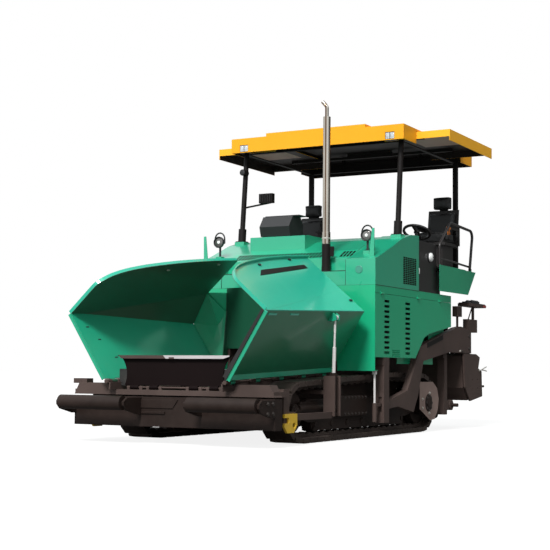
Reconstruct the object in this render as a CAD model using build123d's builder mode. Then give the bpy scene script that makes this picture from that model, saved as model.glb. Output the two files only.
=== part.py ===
from build123d import *
import os
from math import acos, atan2, cos, degrees, pi, radians, sin

os.makedirs("parts", exist_ok=True)

# Asphalt paver on tracks. Millimetres, +X towards the hopper, +Y the machine's left, +Z up.
# The origin lies on the ground under the middle of the overall box.

# Overall
front_end_x = 3298
rear_end_x = -3298
machine_half_width = 1250

# Working clearances
slide_gap = 5
running_gap = 0.5
seat_gap = 0.3

# Tracks: each is a fixed loop around idler, carrier rollers and drive wheel
track_outer_y = 1080
shoe_width = 320
shoe_pitch = 165
shoe_gap = 8
lug_height = 75
plate_top = 58
plate_base = 30
band_inner = 18
link_depth = 35
link_waist = 12
link_width = 130
idler_x = 2070
idler_outer_r = 330
drive_x = -1365
drive_outer_r = 375
carrier_r = 60
carrier_front_x = 900
carrier_front_top = 715
carrier_rear_x = -350
carrier_rear_top = 765

# Undercarriage
roller_r = 80
roller_width = 120
roller_count = 7
roller_first_x = -820
roller_last_x = 1560
beam_width = 150
beam_low_z = 215
beam_top_z = 470
cover_front_x = 1120
cover_rear_x = 340
cover_low_z = 262
cover_top_z = 495
cover_plate = 12
guard_outer_y = 1143
guard_plate = 14

# Chassis
chassis_half_width = 720
chassis_plate = 30
chassis_low_z = 220
hopper_floor_z = 600
floor_plate_t = 14
chassis_front_x = 2560
chassis_rear_x = -1900
tunnel_top_z = 1040
cross_beam_front_x = 2680
cross_beam_half = 1205
cross_beam_low_z = 200
cross_beam_top_z = 585
shelf_front_x = 2950
shelf_low_z = 505
shelf_top_z = 560
shelf_end_z = 628
shelf_half = 1250
hook_plate = 26
hook_hole_r = 30

# Push beam and rollers
pivot_x = 2735
pivot_pin_r = 28
beam_front_x = 2940
beam_rear_x = 2790
push_low_z = 175
push_top_z = 489
push_half = 1250
push_roller_r = 75
push_roller_z = 425
push_roller_in_y = 405
push_roller_out_y = 1215
push_axle_r = 24

# Hopper wings: the hinge line rises towards the rear
hinge_slope = 2.27
wing_front_x = 3070
wing_length = 2326
hinge_y = 738
hinge_front_z = 647
fold_y = 469
fold_z = 732
wing_plate = 10
upper_lean = 41.5
flange = 42
lip_width = 9
hem_points = ((26, 28), (60, 82), (62, 79), (62, 24))
hinge_tube_r = 22
hinge_pin_r = 12
wing_edge_in = 32
knuckle_count = 5
knuckle_length = 90
rail_inner_y = 690
rail_outer_y = 708

# Wing cylinders
cyl_station = 1570
cyl_low_y = 430
cyl_low_z = -352
cyl_pin_r = 20
cyl_foot_r = 38
post_half = 75
post_cheek = 16
post_inner_y = 1095
post_outer_y = 1235
post_low_z = 283
post_top_z = 722
eye_y = 476
eye_z = 652
barrel_r = 36
barrel_length = 400
wing_rod_r = 20
wing_rod_low = 345
wing_rod_step = 680
wing_rod_thin_r = 13

# Front apron
apron_x = 2868
apron_low_z = 607
apron_hinge_z = 585
apron_pin_r = 10
apron_tube_r = 24
apron_lug_r = 14
apron_top_z = 925
apron_half_top = 705
apron_half_waist = 608
apron_plate = 10

# Body shell
body_front_x = 545
panel_rear_x = -1900
door_low_z = 942
seam_z = 1694
deck_base_z = 1790
inner_wall_y = 1145
sheet = 5
door_gap = 4
door_hinge_y = machine_half_width + 6
door_hinge_z = seam_z + door_gap / 2
door_hinge_stations = (356, -767, -1500)
door_pin_r = 5
door_tube_r = 9
hinge_leaf = 20
slot_rows = 11
slot_pitch = 61.3
slot_height = 30
slot_width = 150
slot_top_z = 1610
slot_front_x = 207
slot_rear_x = -425

# Hood
hood_core_half = 862
hood_core_front_x = 385
hood_rear_x = -780
hood_top_z = 2470
hood_box_top_z = 2117
vent_pitch = 44
vent_width = 20
vent_length = 70
vent_row_pitch = 84
vent_depth = 12
vent_fields = [(29, -155), (4, 765)]
side_grille_cell = 56
side_grille_slot = 15
side_grille_front_x = -276
side_grille_rear_x = -694
side_grille_low_z = 1850
side_grille_top_z = 2190

# Platform
deck_z = 2130
deck_plate = 30
deck_rear_x = -2560
deck_half = 1140
cabinet_front_x = -784
cabinet_rear_x = -1480
cabinet_top_z = 2435

# Seat stations
station_front_x = -1400
station_rear_x = -2320
station_floor_z = 2170
station_in_y = 720
skirt_y = 1300
skirt_plate = 6
skirt_front_x = -1370
skirt_rear_x = -2720
skirt_rear_low_x = -2420
seat_y = 1000
seat_x = -1990
seat_width = 440
seat_top_z = 2640

# Canopy
canopy_front_x = -300
canopy_rear_x = -2730
canopy_half = 1245
canopy_low_z = 3660
canopy_top_z = 3850
canopy_crown_z = 3890
canopy_crown_half = 718
canopy_wing_front_x = -715
canopy_wing_rear_x = -2284
canopy_wing_y = 1694
canopy_wing_low_z = 3673
canopy_wing_top_z = 3814
canopy_wing_in_y = 800
canopy_sheet = 8
post_y = 1125
post_front_x = -396
post_rear_x = -2400
post_r = 34
post_lean = 105
post_foot_z = 2470

# Exhaust and lamps
exhaust_x = 450
exhaust_y = 555
exhaust_r = 45
exhaust_low_z = 2060
exhaust_bend_z = 3856
exhaust_top_z = 4065
spout_r = 23
sleeve_r = 52
sleeve_low_z = 2040
sleeve_top_z = 2300
headlamp_x = 320
headlamp_y = 1036
headlamp_z = 2400
headlamp_r = 72
lamp_seat_z = 2215

# Tow points, arms and screed
arm_inner_y = 1155
arm_plate = 80
tow_x = 195
tow_z = 385
tow_pin_r = 22
tow_eye_r = 40
tow_link_x = 450
tow_link_y = 1200
tow_rod_r = 13
tow_barrel_r = 26
tow_post_front_x = 290
tow_post_rear_x = 140
tow_post_low_z = 170
tow_post_top_z = 940
screed_front_x = -2425
screed_mid_x = -2800
screed_rear_x = -3120
screed_top_z = 1035
screed_half = 1205
end_plate_t = 22
extension_travel = 900
guide_r = 24
guide_z = 700
guide_depth = 52
lift_x = -2050
lift_y = 1000
lift_z = 1720
lift_eye_x = -2500
lift_eye_z = 1140
lift_barrel_r = 40
lift_rod_r = 22
lift_barrel_length = 520

# Augers
auger_x = -2165
auger_z = 330
auger_r = 195
auger_shaft_r = 38
auger_stub_r = 26
auger_in_y = 60.5
auger_out_y = 1085
blade_in_y = 130
blade_out_y = 1030
auger_tip_y = 1157
auger_tip_r = 24
auger_stub_y = 1245
blade_count = 8
blade_plate = 14
blade_tilt = 18


# Helpers for the shapes that come again and again
def block(x0, x1, y0, y1, z0, z1, mode=Mode.ADD):
    with Locations(((x0 + x1) / 2, (y0 + y1) / 2, (z0 + z1) / 2)):
        Box(abs(x1 - x0), abs(y1 - y0), abs(z1 - z0), mode=mode)


def side_plate(points, y0, y1, mode=Mode.ADD):
    with BuildSketch(Plane.XZ.offset(-max(y0, y1)), mode=Mode.PRIVATE) as profile:
        with BuildLine():
            Polyline(*points, close=True)
        make_face()
    extrude(profile.sketch, amount=abs(y1 - y0), mode=mode)


def cross_plate(points, x0, x1, mode=Mode.ADD):
    with BuildSketch(Plane.YZ.offset(min(x0, x1)), mode=Mode.PRIVATE) as profile:
        with BuildLine():
            Polyline(*points, close=True)
        make_face()
    extrude(profile.sketch, amount=abs(x1 - x0), mode=mode)


def rod(start, end, radius, mode=Mode.ADD):
    along = Vector(*end) - Vector(*start)
    with BuildSketch(Plane(origin=start, z_dir=along.normalized()), mode=Mode.PRIVATE) as ring:
        Circle(radius)
    extrude(ring.sketch, amount=along.length, mode=mode)


def bent_tube(points, bend, radius):
    with BuildLine(mode=Mode.PRIVATE) as route:
        FilletPolyline(*points, radius=bend)
    start = Plane(origin=route.line @ 0, z_dir=route.line % 0)
    with BuildSketch(start, mode=Mode.PRIVATE) as ring:
        Circle(radius)
    sweep(ring.sketch, path=route.line)


# A plate whose outline runs through points in space
def panel(points, thickness):
    first = Vector(*points[0])
    across = Vector(*points[1]) - first
    face_plane = Plane(origin=first, x_dir=across, z_dir=across.cross(Vector(*points[2]) - first))
    flat = [face_plane.to_local_coords(Vector(*point)) for point in points]
    with BuildSketch(face_plane, mode=Mode.PRIVATE) as outline:
        with BuildLine():
            Polyline(*[(point.X, point.Y) for point in flat], close=True)
        make_face()
    extrude(outline.sketch, amount=thickness)


# A field of shallow slots in the face that lies on the plane
def slots(face_plane, columns, rows, pitch_u, pitch_v, width, height, depth):
    with BuildSketch(face_plane, mode=Mode.PRIVATE) as field:
        with GridLocations(pitch_u, pitch_v, columns, rows):
            Rectangle(width, height)
    extrude(field.sketch, amount=-depth, mode=Mode.SUBTRACT)


def save(part, name):
    part.label = name
    export_step(part, "parts/" + name + ".step")


# Track loop: the line through the link pins runs round four wheels, at equal steps
def loop_pieces(wheels):
    pieces = []
    normals = []
    count = len(wheels)
    for i in range(count):
        ax, az, ar = wheels[i]
        bx, bz, br = wheels[(i + 1) % count]
        length = ((bx - ax) ** 2 + (bz - az) ** 2) ** 0.5
        normals.append(atan2(bz - az, bx - ax) - acos((ar - br) / length))
    for i in range(count):
        ax, az, ar = wheels[i]
        bx, bz, br = wheels[(i + 1) % count]
        n = normals[i]
        turn_from = normals[i - 1]
        turn = (n - turn_from) % (2 * pi)
        pieces.append(("arc", ax, az, ar, turn_from, turn))
        start = (ax + ar * cos(n), az + ar * sin(n))
        end = (bx + br * cos(n), bz + br * sin(n))
        pieces.append(("line", start, end))
    return pieces


def loop_points(wheels, pitch):
    pieces = loop_pieces(wheels)
    lengths = []
    for piece in pieces:
        if piece[0] == "arc":
            lengths.append(piece[3] * piece[5])
        else:
            (sx, sz), (ex, ez) = piece[1], piece[2]
            lengths.append(((ex - sx) ** 2 + (ez - sz) ** 2) ** 0.5)
    total = sum(lengths)
    count = round(total / pitch)
    points = []
    for k in range(count):
        left = total * k / count
        i = 0
        while left > lengths[i]:
            left -= lengths[i]
            i += 1
        piece = pieces[i]
        if piece[0] == "arc":
            angle = piece[4] + left / piece[3]
            points.append((piece[1] + piece[3] * cos(angle), piece[2] + piece[3] * sin(angle)))
        else:
            (sx, sz), (ex, ez) = piece[1], piece[2]
            share = left / lengths[i]
            points.append((sx + (ex - sx) * share, sz + (ez - sz) * share))
    return points


carrier_path_r = carrier_r + link_depth
carrier_front_z = carrier_front_top - lug_height - carrier_path_r
carrier_rear_z = carrier_rear_top - lug_height - carrier_path_r
track_wheels = [
    (drive_x, drive_outer_r, drive_outer_r - lug_height),
    (idler_x, idler_outer_r, idler_outer_r - lug_height),
    (carrier_front_x, carrier_front_z, carrier_path_r),
    (carrier_rear_x, carrier_rear_z, carrier_path_r),
]
pins = loop_points(track_wheels, shoe_pitch)
shoe_line = []
band_line = []
link_line = []
for k in range(len(pins)):
    px, pz = pins[k]
    qx, qz = pins[(k + 1) % len(pins)]
    chord = ((qx - px) ** 2 + (qz - pz) ** 2) ** 0.5
    dx, dz = (qx - px) / chord, (qz - pz) / chord
    nx, nz = dz, -dx
    for along, height in (
        (shoe_gap / 2, plate_base),
        (shoe_gap / 2, plate_top),
        (22, lug_height),
        (chord - 22, lug_height),
        (chord - shoe_gap / 2, plate_top),
        (chord - shoe_gap / 2, plate_base),
    ):
        shoe_line.append((px + dx * along + nx * height, pz + dz * along + nz * height))
    band_line.append((px + nx * band_inner, pz + nz * band_inner))
    link_line.append((px - nx * link_depth, pz - nz * link_depth))
    mid = chord / 2
    link_line.append((px + dx * mid - nx * link_waist, pz + dz * mid - nz * link_waist))

track_mid_y = track_outer_y - shoe_width / 2
with BuildPart() as track_left:
    side_plate(shoe_line, track_outer_y - shoe_width, track_outer_y)
    side_plate(band_line, track_outer_y - shoe_width, track_outer_y, mode=Mode.SUBTRACT)
    with BuildSketch(Plane.XZ.offset(-(track_mid_y + link_width / 2))):
        with BuildLine():
            Polyline(*[(x, z) for x, z in shoe_line[0::6]], close=True)
        make_face()
        with BuildLine():
            Polyline(*link_line, close=True)
        make_face(mode=Mode.SUBTRACT)
    extrude(amount=link_width)
save(track_left.part, "track_left")
with BuildPart() as track_right:
    mirror(track_left.part, about=Plane.XZ)
save(track_right.part, "track_right")

# Undercarriage: beam, rollers, idler, drive wheel, outer cover and drive guard
inner_link = lug_height + link_depth
idler_r = idler_outer_r - inner_link - running_gap
drive_r = drive_outer_r - inner_link - running_gap
roller_z = inner_link + running_gap + roller_r
with BuildPart() as undercarriage_left:
    beam_y0 = track_mid_y - beam_width / 2
    beam_y1 = track_mid_y + beam_width / 2
    side_plate(
        [
            (idler_x - 60, idler_outer_r - 45),
            (idler_x - 60, idler_outer_r + 45),
            (idler_x - 330, beam_top_z),
            (drive_x + 420, beam_top_z),
            (drive_x + 60, drive_outer_r + 90),
            (drive_x + 60, drive_outer_r - 90),
            (drive_x + 420, beam_low_z),
            (idler_x - 330, beam_low_z),
        ],
        beam_y0,
        beam_y1,
    )
    for i in range(roller_count):
        x = roller_first_x + (roller_last_x - roller_first_x) * i / (roller_count - 1)
        rod((x, track_mid_y - roller_width / 2, roller_z), (x, track_mid_y + roller_width / 2, roller_z), roller_r)
    for x, z in ((carrier_front_x, carrier_front_z), (carrier_rear_x, carrier_rear_z)):
        rod((x, track_mid_y - 55, z), (x, track_mid_y + 55, z), carrier_r - running_gap)
        block(x - 40, x + 40, track_mid_y - 70, track_mid_y + 70, beam_top_z - 10, z - 10)
    for x, z, r in ((idler_x, idler_outer_r, idler_r), (drive_x, drive_outer_r, drive_r)):
        rod((x, track_mid_y - 55, z), (x, track_mid_y + 55, z), r)
        rod((x, track_mid_y - 95, z), (x, track_mid_y + 95, z), 90)
    # guards beside the track rollers
    for y in (track_mid_y - 74, track_mid_y + 64):
        block(roller_first_x - 40, roller_last_x + 40, y, y + 10, 120, beam_low_z + 15)
    # bolted cover beside the beam
    block(cover_rear_x, cover_front_x, beam_y1 - 1, track_outer_y - 25, cover_low_z, cover_top_z)
    # spring and jack housing by the idler
    block(1340, 1980, beam_y1 - 1, track_outer_y - 60, 285, 440)
    rod((1320, track_outer_y - 75, 362), (2000, track_outer_y - 75, 362), 48)
    # stays to the chassis
    for x in (-700, 400, 1500):
        block(x - 60, x + 60, chassis_half_width, beam_y0 + 1, beam_top_z - 130, beam_top_z - 10)
    # drive guard: stepped plate outside the drive wheel
    guard_x = drive_x
    with BuildSketch(Plane.XZ.offset(-guard_outer_y), mode=Mode.PRIVATE) as guard_face:
        with BuildLine():
            Polyline(
                (guard_x + 300, 645),
                (guard_x - 150, 645),
                (guard_x - 300, 560),
                (guard_x - 360, 420),
                (guard_x - 320, 270),
                (guard_x - 210, 160),
                (guard_x - 60, 145),
                (guard_x + 300, 300),
                close=True,
            )
        make_face()
        fillet(guard_face.vertices().group_by(Axis.X)[0], 60)
    extrude(guard_face.sketch, amount=guard_plate)
    rod((drive_x, track_mid_y, drive_outer_r), (drive_x, guard_outer_y - 1, drive_outer_r), 150)
save(undercarriage_left.part, "undercarriage_left")
with BuildPart() as undercarriage_right:
    mirror(undercarriage_left.part, about=Plane.XZ)
save(undercarriage_right.part, "undercarriage_right")

# Hinge line of the hopper wings, with a plane square to it
wing_section = Plane(
    origin=(wing_front_x, hinge_y, hinge_front_z),
    x_dir=(0, 1, 0),
    z_dir=(cos(radians(hinge_slope)), 0, -sin(radians(hinge_slope))),
)
axis_dir = wing_section.z_dir


def wing_point(station, y, z):
    c, s = cos(radians(hinge_slope)), sin(radians(hinge_slope))
    return (wing_front_x - station * c + z * s, hinge_y + y, hinge_front_z + station * s + z * c)


cyl_foot = wing_point(cyl_station, cyl_low_y, cyl_low_z)
cyl_eye = wing_point(cyl_station, eye_y, eye_z)
cyl_along = (Vector(*cyl_eye) - Vector(*cyl_foot)).normalized()
barrel_end = Vector(*cyl_foot) + cyl_along * barrel_length
post_mid_x = (cyl_foot[0] + barrel_end.X) / 2
knuckle_gap = 4
knuckle_step = (wing_length - 3 * knuckle_length) / (knuckle_count - 1)

# Main frame: two side plates with the conveyor tunnel between them
tow_out_y = machine_half_width
tow_in_y = tow_out_y - 98
frame_in_y = chassis_half_width - chassis_plate
apron_pin_x = apron_x + apron_plate / 2
with BuildPart() as main_frame:
    side_plate(
        [
            (chassis_front_x + 1, 260),
            (chassis_front_x + 1, hopper_floor_z - floor_plate_t),
            (body_front_x + 60, hopper_floor_z - floor_plate_t),
            (body_front_x + 60, tunnel_top_z),
            (chassis_rear_x, tunnel_top_z),
            (chassis_rear_x, 300),
            (chassis_rear_x + 250, chassis_low_z),
            (chassis_front_x - 260, chassis_low_z),
        ],
        frame_in_y,
        chassis_half_width,
    )
    # rail under the hinge line, and its knuckles
    side_plate(
        [
            (wing_front_x - 10, shelf_top_z - 1),
            (wing_front_x - 10, hinge_front_z - 12),
            (body_front_x + 200, hinge_front_z + 80),
            (body_front_x + 200, hopper_floor_z - 21),
            (2600, hopper_floor_z - 21),
            (2600, shelf_top_z - 1),
        ],
        rail_inner_y,
        rail_outer_y,
    )
    for i in range(knuckle_count):
        station = knuckle_length * 1.5 + knuckle_step * i
        for shift in (-1, 1):
            mid = station + shift * (knuckle_length + knuckle_gap)
            near = Vector(*wing_point(mid - knuckle_length / 2, 0, 0))
            far = Vector(*wing_point(mid + knuckle_length / 2, 0, 0))
            rod(tuple(near), tuple(far), hinge_tube_r)
            block(far.X + 2, near.X - 2, rail_outer_y - 1, hinge_y, near.Z - 14, near.Z + 6)
    rod(wing_point(2, 0, 0), wing_point(wing_length - 30, 0, 0), hinge_pin_r)
    # shelf end under the wing
    cross_plate(
        [
            (shelf_half, shelf_low_z),
            (shelf_half - 65, shelf_end_z),
            (810, shelf_end_z),
            (772, shelf_top_z - 1),
            (772, shelf_low_z),
        ],
        beam_rear_x,
        shelf_front_x,
    )
    # tow post: a channel open to the rear, held by a beam from the chassis
    block(tow_post_front_x - 15, tow_post_front_x, tow_in_y, tow_out_y, tow_post_low_z, tow_post_top_z)
    block(tow_post_rear_x, tow_post_front_x, tow_out_y - 14, tow_out_y, tow_post_low_z, tow_post_top_z)
    block(tow_post_rear_x, tow_post_front_x, tow_in_y - 14, tow_in_y, tow_post_low_z, tow_post_top_z)
    block(tow_post_rear_x, tow_post_front_x, tow_in_y - 14, tow_out_y, tow_post_top_z - 90, tow_post_top_z)
    block(tow_post_rear_x - 20, tow_post_front_x + 20, chassis_half_width - 1, tow_out_y - 6,
          tow_post_top_z - 88, tow_post_top_z - 2)
    block(tow_post_front_x - 16, tow_post_front_x + 1, tow_link_y - 22, tow_link_y + 22,
          tow_z - 90, tow_z + 90, mode=Mode.SUBTRACT)
    # post for the wing cylinder, with its outrigger rail
    for x in (post_mid_x - post_half, post_mid_x + post_half - post_cheek):
        block(x, x + post_cheek, post_inner_y, post_outer_y, post_low_z, post_top_z)
    block(post_mid_x - post_half, post_mid_x + post_half, post_inner_y, post_inner_y + 14, post_low_z, post_top_z)
    rod(tuple(Vector(*cyl_foot) - axis_dir * (post_half - 12)), tuple(Vector(*cyl_foot) + axis_dir * (post_half - 2)), cyl_pin_r)
    block(post_mid_x + post_half - 1, 2440, 1150, cross_beam_half, 262, 330)
    block(2420, chassis_front_x + 1, 1130, cross_beam_half, 240, 352)
    block(post_mid_x - 55, post_mid_x + 55, chassis_half_width - 1, post_inner_y + 1, 520, 560)
    # rear hanger for the auger
    block(-2035, -1935, 1040, 1140, 205, 1065)
    block(-2035, chassis_rear_x + 1, chassis_half_width - 1, 1140, 960, 1064)
    block(auger_x - 60, -2034, 1112, 1140, auger_z - 60, auger_z + 60)
    rod((auger_x, 1095, auger_z), (auger_x, 1155, auger_z), 70)
    rod((auger_x, 1094, auger_z), (auger_x, 1156, auger_z), auger_stub_r + running_gap, mode=Mode.SUBTRACT)
    mirror(about=Plane.XZ)
    # cross members
    block(cross_beam_front_x, chassis_front_x, -cross_beam_half, cross_beam_half, cross_beam_low_z, cross_beam_top_z)
    block(cross_beam_front_x - 1, shelf_front_x, -shelf_half + 10, shelf_half - 10, shelf_low_z, shelf_top_z)
    block(cross_beam_front_x - 1, pivot_x + 42, -130, 130, 250, 275)
    block(cross_beam_front_x - 1, pivot_x + 42, -130, 130, 395, 420)
    rod((pivot_x, 0, 240), (pivot_x, 0, 430), pivot_pin_r)
    block(chassis_rear_x + 240, chassis_front_x - 250, -frame_in_y - 1, frame_in_y + 1, chassis_low_z, chassis_low_z + 16)
    block(chassis_rear_x, chassis_rear_x + 16, -frame_in_y - 1, frame_in_y + 1, 310, 560)
    # hopper floor with the chain covers
    block(chassis_rear_x, 2700, -frame_in_y - 1, frame_in_y + 1, hopper_floor_z - floor_plate_t, hopper_floor_z)
    block(body_front_x + 59, 2700, -chassis_half_width, chassis_half_width, hopper_floor_z - floor_plate_t, hopper_floor_z)
    for y in (-frame_in_y + 42, -20, frame_in_y - 82):
        block(chassis_rear_x, 2660, y, y + 40, hopper_floor_z - 1, hopper_floor_z + 50)
    # stop block on the far end of the shelf
    block(2795, 2910, -1296, -1116, shelf_end_z - 8, 673)
    # pin and lugs for the front apron
    rod((apron_pin_x, -600, apron_hinge_z), (apron_pin_x, 600, apron_hinge_z), apron_pin_r)
    for y in (-580, -420, -330, -170, 170, 330, 420, 580):
        rod((apron_pin_x, y - 18, apron_hinge_z), (apron_pin_x, y + 18, apron_hinge_z), apron_lug_r)
        block(apron_pin_x - apron_lug_r, apron_pin_x + apron_lug_r, y - 18, y + 18, shelf_top_z - 1, apron_hinge_z)
    # auger gear case at the middle
    block(-2090, chassis_rear_x + 1, -60, 60, 250, 540)
    block(auger_x - 95, -2089, -60, 60, auger_z - 95, auger_z + 95)
save(main_frame.part, "main_frame")

# Slat conveyor: two strands of chain and slats on the floor
slat_pitch = 300
slat_count = 15
with BuildPart() as slat_conveyor:
    for side in (-1, 1):
        y0 = side * 30
        y1 = side * (frame_in_y - 92)
        for chain_y in (y0 + side * 16, y1 - side * 46):
            block(chassis_rear_x + 20, 2640, chain_y, chain_y + side * 30, hopper_floor_z + 0.5, hopper_floor_z + 20)
        for i in range(slat_count):
            x = chassis_rear_x + 60 + slat_pitch * i
            block(x, x + 40, y0, y1, hopper_floor_z + 4, hopper_floor_z + 30)
save(slat_conveyor.part, "slat_conveyor")

# Body shell behind the hopper
tunnel_half = chassis_half_width - 2
with BuildPart() as body_shell:
    # inner side walls with the engine bay opening, deck strip and seam strip
    side_plate(
        [
            (body_front_x, tow_post_top_z + 5),
            (body_front_x, deck_base_z),
            (panel_rear_x, deck_base_z),
            (panel_rear_x, 1180),
            (-1500, 1180),
            (-1500, 870),
            (-330, 870),
            (-330, tow_post_top_z + 5),
        ],
        inner_wall_y - sheet,
        inner_wall_y,
    )
    block(-1350, 430, inner_wall_y - sheet - 1, inner_wall_y + 1, 1010, 1650, mode=Mode.SUBTRACT)
    block(panel_rear_x, body_front_x, inner_wall_y - 1, machine_half_width, seam_z + door_gap, seam_z + door_gap + sheet)
    block(panel_rear_x, body_front_x, machine_half_width - sheet, machine_half_width, seam_z + door_gap, deck_base_z)
    # fixed halves of the door hinges
    for x in door_hinge_stations:
        for end in (-1, 1):
            rod((x + end * (hinge_leaf + 1), door_hinge_y, door_hinge_z),
                (x + end * (hinge_leaf + 25), door_hinge_y, door_hinge_z), door_tube_r)
        block(x - 45, x + 45, machine_half_width - 1, machine_half_width + 3, 1702, 1740)
        rod((x - hinge_leaf - 1, door_hinge_y, door_hinge_z), (x + hinge_leaf + 1, door_hinge_y, door_hinge_z),
            door_tube_r + 1, mode=Mode.SUBTRACT)
        rod((x - 40, door_hinge_y, door_hinge_z), (x + 40, door_hinge_y, door_hinge_z), door_pin_r)
    block(-1500, body_front_x, chassis_half_width, inner_wall_y - 1, tow_post_top_z + 5, tow_post_top_z + 10)
    block(-1505, -1500, chassis_half_width, inner_wall_y - 1, tow_post_top_z + 5, deck_base_z)
    block(panel_rear_x, panel_rear_x + sheet, tunnel_half - 1, inner_wall_y, 1376, deck_base_z)
    # ears for the lift cylinder
    for y in (lift_y - 60, lift_y + 44):
        side_plate(
            [
                (panel_rear_x + 1, lift_z - 150), (panel_rear_x + 1, lift_z + 50), (lift_x - 20, lift_z + 50),
                (lift_x - 60, lift_z + 10), (lift_x - 60, lift_z - 30), (lift_x - 20, lift_z - 60),
            ],
            y,
            y + 16,
        )
    rod((lift_x, lift_y - 61, lift_z), (lift_x, lift_y + 61, lift_z), 20)
    block(panel_rear_x, -1500, chassis_half_width + 1, inner_wall_y, 1376, 1381)
    mirror(about=Plane.XZ)
    block(panel_rear_x, body_front_x, -machine_half_width, machine_half_width, deck_base_z - sheet, deck_base_z)
    block(panel_rear_x, panel_rear_x + sheet, -tunnel_half, tunnel_half, tunnel_top_z + seat_gap, deck_base_z)
    block(panel_rear_x, body_front_x + 60, -tunnel_half, tunnel_half, tunnel_top_z + seat_gap, tunnel_top_z + 9)
    # front walls either side of the hopper
    for side in (-1, 1):
        cross_plate(
            [
                (side * 760, 780),
                (side * machine_half_width, 780),
                (side * machine_half_width, deck_base_z),
                (side * 700, deck_base_z),
                (side * 700, tunnel_top_z + 2),
                (side * 760, tunnel_top_z + 2),
            ],
            body_front_x,
            body_front_x + sheet,
        )
        # corner facet that closes the hopper beside the wing
        low = Vector(*wing_point(wing_length + 12, 6, 40))
        fold = Vector(*wing_point(wing_length + 12, fold_y - 2, fold_z + 2))
        high = Vector(*wing_point(wing_length + 12, fold_y - 292, fold_z + 260))
        inner = Vector(621, 730, 1500)
        top = Vector(621, 730, high.Z)
        for corners in ((low, fold, inner), (fold, high, inner), (high, top, inner)):
            points = [(corner.X, side * corner.Y, corner.Z) for corner in corners]
            panel(points if side == 1 else points[::-1], 8)
        side_plate([(body_front_x + 1, 782), (low.X - 4, 782), (621, 1500), (body_front_x + 1, 1500)],
                   side * 724, side * 736)
        block(tow_link_x - 30, body_front_x + 1, side * (tow_link_y - 30), side * (tow_link_y + 30), 781, 790)
    # wall over the tunnel mouth, and its top
    block(610, 620, -736, 736, tunnel_top_z + seat_gap, deck_base_z)
    block(body_front_x + 1, 620, -736, 736, deck_base_z - 10, deck_base_z)
save(body_shell.part, "body_shell")

# Side doors, hinged along the seam
with BuildPart() as side_door_left:
    side_plate(
        [
            (body_front_x, seam_z),
            (panel_rear_x, seam_z),
            (panel_rear_x, 1376),
            (-1117, 1259),
            (-949, 1203),
            (-670, door_low_z),
            (body_front_x, door_low_z),
        ],
        machine_half_width - sheet,
        machine_half_width,
    )
    for x in door_hinge_stations:
        rod((x - hinge_leaf, door_hinge_y, door_hinge_z), (x + hinge_leaf, door_hinge_y, door_hinge_z), door_tube_r)
        block(x - hinge_leaf, x + hinge_leaf, machine_half_width - 1, machine_half_width + 3, 1650, 1690)
        rod((x - hinge_leaf - 1, door_hinge_y, door_hinge_z), (x + hinge_leaf + 1, door_hinge_y, door_hinge_z),
            door_pin_r + running_gap, mode=Mode.SUBTRACT)
        for end in (-1, 1):
            rod((x + end * (hinge_leaf + 0.5), door_hinge_y, door_hinge_z),
                (x + end * (hinge_leaf + 28), door_hinge_y, door_hinge_z), door_tube_r + 4, mode=Mode.SUBTRACT)
    slots(Plane(origin=(-62, machine_half_width, 993), x_dir=(1, 0, 0), z_dir=(0, 1, 0)), 10, 4, 24, 22, 18, 16, 6)
    for column in (slot_front_x, slot_rear_x):
        for i in range(slot_rows):
            z = slot_top_z - slot_pitch * i
            block(column - slot_width / 2, column + slot_width / 2, machine_half_width - 2 * sheet,
                  machine_half_width + 1, z - slot_height / 2, z + slot_height / 2, mode=Mode.SUBTRACT)
save(side_door_left.part, "side_door_left")
with BuildPart() as side_door_right:
    mirror(side_door_left.part, about=Plane.XZ)
save(side_door_right.part, "side_door_right")

# Engine, one plain block inside the body
with BuildPart() as engine_block:
    block(-1300, 300, -980, 980, tunnel_top_z + 9 + seat_gap, deck_base_z - 8)
save(engine_block.part, "engine_block")

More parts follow.
